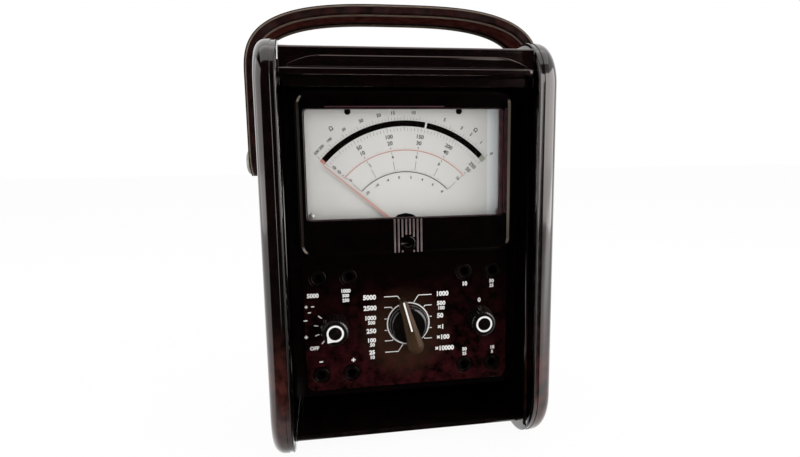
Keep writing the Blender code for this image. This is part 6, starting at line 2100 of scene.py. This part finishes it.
@dataclass
class Handle:
    """The moulded carrying strap and the studs it hangs on."""

    half_span: float = 84.0
    top: float = 244.0
    shoulder: float = 205.0
    low_end: float = 151.0
    pivot_height: float = 159.0
    width: float = 28.0
    thickness: float = 5.5
    power: float = 3.05
    arch_steps: int = 120
    end_round: float = 13.5

    def path(self) -> list[Pair]:
        """The strap's middle line, as X and Z, from its left end to its right."""
        a = self.half_span - self.thickness / 2
        b = self.top - self.thickness / 2 - self.shoulder
        arch = []
        for index in range(self.arch_steps + 1):
            t = math.pi * index / self.arch_steps
            c, s = math.cos(t), math.sin(t)
            arch.append((
                -math.copysign(abs(c) ** (2 / self.power), c) * a,
                self.shoulder + abs(s) ** (2 / self.power) * b,
            ))
        leg = [self.low_end + (self.shoulder - self.low_end) * (i / 24) for i in range(24)]
        return [(-a, z) for z in leg] + arch + [(a, z) for z in reversed(leg)]

    def section(self, half: float) -> list[Pair]:
        """The strap's section: Y from its middle and height above its inner face.

        Args:
            half: half its width here.

        Returns:
            A closed outline, outer side first.
        """
        t = self.thickness
        points = []
        bead, lip = 1.7, 0.75
        for i in range(9):
            a = math.radians(180 - 180 * i / 8)
            points.append((-half + bead + bead * math.cos(a), t - bead * 0.8 + bead * 0.8 * math.sin(a)))
        channel = 8.0
        outer = [(-half + 2 * bead + 0.3, t - lip), (-channel - 0.8, t - lip), (-channel, t - lip - 0.25),
                 (-channel + 0.6, t - 1.5), (0.0, t - 1.6)]
        if half > channel + 4.2:
            points += outer + [(-y, z) for y, z in reversed(outer[:-1])]
        else:
            flat = [(-half + 2 * bead + (half - 2 * bead) * i / 4, t - lip) for i in range(5)]
            points += flat + [(-y, z) for y, z in reversed(flat[:-1])]
        points += [(-y, z) for y, z in reversed(points[:9])]
        under = [(half - 0.15, 0.7), (half - 0.7, 0.12), (half - 1.5, 0.0), (half - 2.6, 0.12),
                 (half - 3.4, 0.55), (half - 4.2, 0.8), (half * 0.35, 0.85), (0.0, 0.85)]
        return points + under + [(-y, z) for y, z in reversed(under[:-1])]

    def sweep(self, section: Callable[[float], list[Pair]]) -> list[list[Point]]:
        """Carries a section along the strap.

        Args:
            section: gives the section for half the strap's width at a place.

        Returns:
            The rings.
        """
        path = [Vector(point) for point in self.path()]
        middle = (CAD_BOX[0].y + CAD_BOX[1].y) / 2 / MM - FRONT_Y / MM
        total = sum((b - a).length for a, b in zip(path, path[1:]))
        rings = []
        travel = 0.0
        for index, spot in enumerate(path):
            way = (path[min(index + 1, len(path) - 1)] - path[max(index - 1, 0)]).normalized()
            out = Vector((-way.y, way.x))
            if index:
                travel += (spot - path[index - 1]).length
            short = max(self.end_round - min(travel, total - travel), 0.0)
            half = self.width / 2 - self.end_round + math.sqrt(self.end_round ** 2 - short ** 2)
            ring = []
            for y, rise in section(max(half, 3.6)):
                at = spot + out * (rise - self.thickness / 2)
                ring.append((at.x, middle + y, at.y))
            rings.append(ring)
        return rings

    def piping(self, half: float, side: int) -> list[Pair]:
        """The section of the bead along one edge of the underside."""
        return circle((side * (half - 2.6), 0.1), 0.8, 12)

    def welt(self, half: float, side: int) -> list[Pair]:
        """The section of the fine bead along one outer edge."""
        return circle((side * (half - 0.25), self.thickness - 1.35), 0.45, 10)

    def strap(self) -> None:
        """The strap, the piping on its underside and along its outer edges, coloured tan as painted highlights, and
        the inlay between.
        """
        inlay = [(-6.5, 0.5), (6.5, 0.5), (6.5, 0.9), (-6.5, 0.9)]
        piping = Form()
        for side in (-1, 1):
            piping.skin(self.sweep(lambda half, side=side: self.piping(half, side)))
            piping.skin(self.sweep(lambda half, side=side: self.welt(half, side)))
        for form, name, finish in (
            (Form().skin(self.sweep(self.section)), "carrying_strap", Finish.STRAP),
            (piping, "strap_piping_painted_highlight", Finish.PIPING_HIGHLIGHT),
            (Form().skin(self.sweep(lambda half: [(y * min(half / 14, 1), z) for y, z in inlay])),
             "strap_inlay", Finish.INLAY),
        ):
            settle(form.piece(name, finish), Body.HANDLE, ["handle_strap"])

    def studs(self) -> None:
        """The two studs."""
        for name, side in (("handle_stud_left", -1), ("handle_stud_right", 1)):
            box = Box.of(name)
            far, near = (box.left, box.right) if side < 0 else (box.right, box.left)
            depth = (box.front + box.back) / 2
            head, shoulder, shank = (box.top - box.bottom) / 2, 6.0, 2.55
            start = -abs(far - near)
            dome = [(0.0, 0.0), (head * 0.35, 0.08), (head * 0.62, 0.32), (head * 0.82, 0.75), (head * 0.94, 1.3),
                    (head, 1.9), (head, 2.4)]
            out = 2.4 + 5.5 + 0.5
            rest = [(shank + 0.3, 2.45), (shank + 0.3, out), (shoulder, out), (shoulder, abs(far) - 74.6 - 0.3),
                    (shank, abs(far) - 74.6 - 0.3), (shank, -start), (0.0, -start)]
            profile = [(radius, -side * along) for radius, along in dome + rest]
            stud = Form().turned(profile, (depth, self.pivot_height), Axis.ACROSS, far, 48)
            settle(stud.piece(name + "_turned", Finish.STUD), Body.CASE, [name])

    def build(self) -> None:
        """Makes the strap and studs."""
        self.strap()
        self.studs()


# Studio


@dataclass
class Studio:
    """Camera, floor, world and lamps."""

    eye: Point = (-0.04428, -0.3052, 0.15967)
    forward: Point = (0.14766, 0.97959, -0.13637)
    up: Point = (0.03573, 0.13251, 0.99054)
    focal: float = 509.07
    image_width: float = 800.0
    floor_half: float = 6.0

    def camera(self) -> None:
        """Sets the camera at the photograph's place."""
        data = bpy.data.cameras.new("camera")
        data.sensor_width = 36.0
        data.lens = self.focal * data.sensor_width / self.image_width
        data.clip_start, data.clip_end = 0.01, 60.0
        camera = link("camera", data)
        ahead = Vector(self.forward).normalized()
        across = ahead.cross(Vector(self.up)).normalized()
        above = across.cross(ahead)
        turn = Matrix((across, above, -ahead)).transposed()
        camera.matrix_world = Matrix.Translation(self.eye) @ turn.to_4x4()
        bpy.context.scene.camera = camera

    def floor(self) -> None:
        """A pale floor that looks white to the camera and keeps the object's shadow."""
        shader = Shader("floor")
        tone = shader.group(
            MOTTLE, "Colour", Vector=shader.vector, Colour=(0.93, 0.93, 0.93), Tint=(0.90, 0.90, 0.90),
            Scale=3.0, Amount=0.5,
        )
        shader.set(Base_Color=tone, Roughness=0.9, Specular_IOR_Level=0.0)
        path = shader.add("ShaderNodeLightPath").outputs
        spot = shader.add("ShaderNodeSeparateXYZ", {0: shader.vector})
        behind = shader.remap(spot.outputs["Y"], 0.02, 0.14, 0.0, 1.0)
        centred = shader.math("SUBTRACT", spot.outputs["X"], 0.009)
        wide = shader.remap(shader.math("ABSOLUTE", centred), 0.071, 0.077, 0.0, 1.0)
        under = shader.math("MULTIPLY", wide, shader.remap(spot.outputs["Y"], -0.14, -0.10, 0.0, 0.45))
        near = shader.remap(spot.outputs["Y"], -1.20, -0.55, 0.0, 1.0)
        rightward = shader.math("ADD", spot.outputs["X"], shader.math("MULTIPLY", spot.outputs["Y"], 0.58))
        beside = shader.math("MULTIPLY", near, shader.remap(rightward, 0.025, 0.032, 0.0, 1.0))
        beside = shader.math("MULTIPLY", beside, shader.remap(spot.outputs["Y"], -0.32, -0.08, 2.6, 0.85))
        slant = shader.math("MULTIPLY", spot.outputs["Y"], -1.2)
        open_side = shader.remap(shader.math("ADD", spot.outputs["X"], slant), -0.03, 0.01, 1.0, 0.0)
        lit = shader.math("MAXIMUM", shader.math("MAXIMUM", behind, under), open_side)
        mirrored = shader.math("MAXIMUM", shader.remap(lit, 0.0, 1.0, 0.015, 1.0), beside)
        straight = shader.math("SUBTRACT", path["Is Transmission Ray"], path["Glossy Depth"])
        seen = shader.math("MAXIMUM", path["Is Camera Ray"], straight)
        strength = shader.math("MAXIMUM", seen, mirrored)
        white = shader.add("ShaderNodeEmission", {"Color": (1.0, 1.0, 1.0), "Strength": strength})
        shown = shader.math("MAXIMUM", shader.math("MULTIPLY", seen, 0.95), path["Is Glossy Ray"])
        mix = shader.add("ShaderNodeMixShader", {0: shown, 1: shader.surface.outputs[0], 2: white.outputs[0]})
        shader.feed(shader.tree.nodes["Material Output"].inputs["Surface"], mix.outputs[0])
        form = Form()
        half = self.floor_half / MM
        corners = [(-half, -half), (half, -half), (half, half), (-half, half)]
        form.mesh.faces.new([form.mesh.verts.new((x, y, 0.0)) for x, y in corners])
        floor = form.piece("floor")
        floor.data.materials.append(shader.material)

    def world(self) -> None:
        """White behind and beside the object, dim in front, as in a studio with a dark camera side."""
        world = bpy.data.worlds.new("studio")
        bpy.context.scene.world = world
        world.use_nodes = True
        nodes = Nodes(world.node_tree)
        background = world.node_tree.nodes["Background"]
        direction = nodes.add("ShaderNodeSeparateXYZ", {0: nodes.add("ShaderNodeTexCoord").outputs["Generated"]})
        x, y = direction.outputs["X"], direction.outputs["Y"]
        behind = nodes.remap(y, 0.05, 0.35, 0.0, 1.0)
        aside = nodes.remap(x, 0.44, 0.52, 0.0, 0.8)
        mirrored = nodes.remap(nodes.math("MAXIMUM", behind, aside), 0.0, 1.0, 0.008, 1.0)
        path = nodes.add("ShaderNodeLightPath").outputs
        soft = nodes.blend(path["Is Diffuse Ray"], mirrored, (0.67, 0.67, 0.67, 1.0))
        straight = nodes.math("SUBTRACT", path["Is Transmission Ray"], path["Glossy Depth"])
        seen = nodes.math("MAXIMUM", path["Is Camera Ray"], straight)
        colour = nodes.blend(seen, soft, (1.0, 1.0, 1.0, 1.0))
        nodes.feed(background.inputs["Color"], colour)
        background.inputs["Strength"].default_value = 1.0

    def lamp(self, name: str, spot: Point, target: Point, size: Pair, power: float) -> None:
        """Adds a soft rectangular lamp.

        Args:
            name: its name.
            spot: where it stands, in metres.
            target: what it faces.
            size: its width and height.
            power: its power in watts.
        """
        data = bpy.data.lights.new(name, "AREA")
        data.shape = "RECTANGLE"
        data.size, data.size_y = size
        data.energy = power
        lamp = link(name, data)
        way = Vector(target) - Vector(spot)
        lamp.matrix_world = Matrix.Translation(spot) @ way.to_track_quat("-Z", "Y").to_matrix().to_4x4()

    def build(self) -> None:
        """Sets up the studio."""
        bpy.context.scene.view_settings.view_transform = "Standard"
        self.camera()
        self.floor()
        self.world()
        aim = (0.0, -0.03, 0.11)
        self.lamp("lamp_right", (0.73, -0.48, 0.32), aim, (0.98, 0.70), 6.3)
        self.lamp("lamp_left", (-0.86, -0.22, 0.34), aim, (1.04, 0.96), 4.4)
        self.lamp("lamp_top", (0.0, -0.14, 1.10), aim, (1.30, 0.80), 3.0)


def main() -> None:
    """Builds the instrument piece by piece."""
    logging.basicConfig(level=logging.INFO, format="%(message)s")
    parts = (
        Cheeks(), Inside(), Face(), MeterScale(), Screws(), RangeKnob(),
        SideKnob(
            "function_knob_fluted", "function_switch_turn", "function_knob", Body.FUNCTION, -140.0
        ),
        SideKnob(
            "zero_ohms_knob_fluted", "zero_ohms_turn", "zero_ohms_knob", Body.ZERO_OHMS, 0.0,
            teardrop=False,
        ),
        PanelMarks(), RollFront(), Handle(), Studio(),
    )
    for part in parts:
        LOG.info("-- %s", type(part).__name__)
        (part.dress if isinstance(part, Inside) else part.build)()


if __name__ == "__main__":
    main()
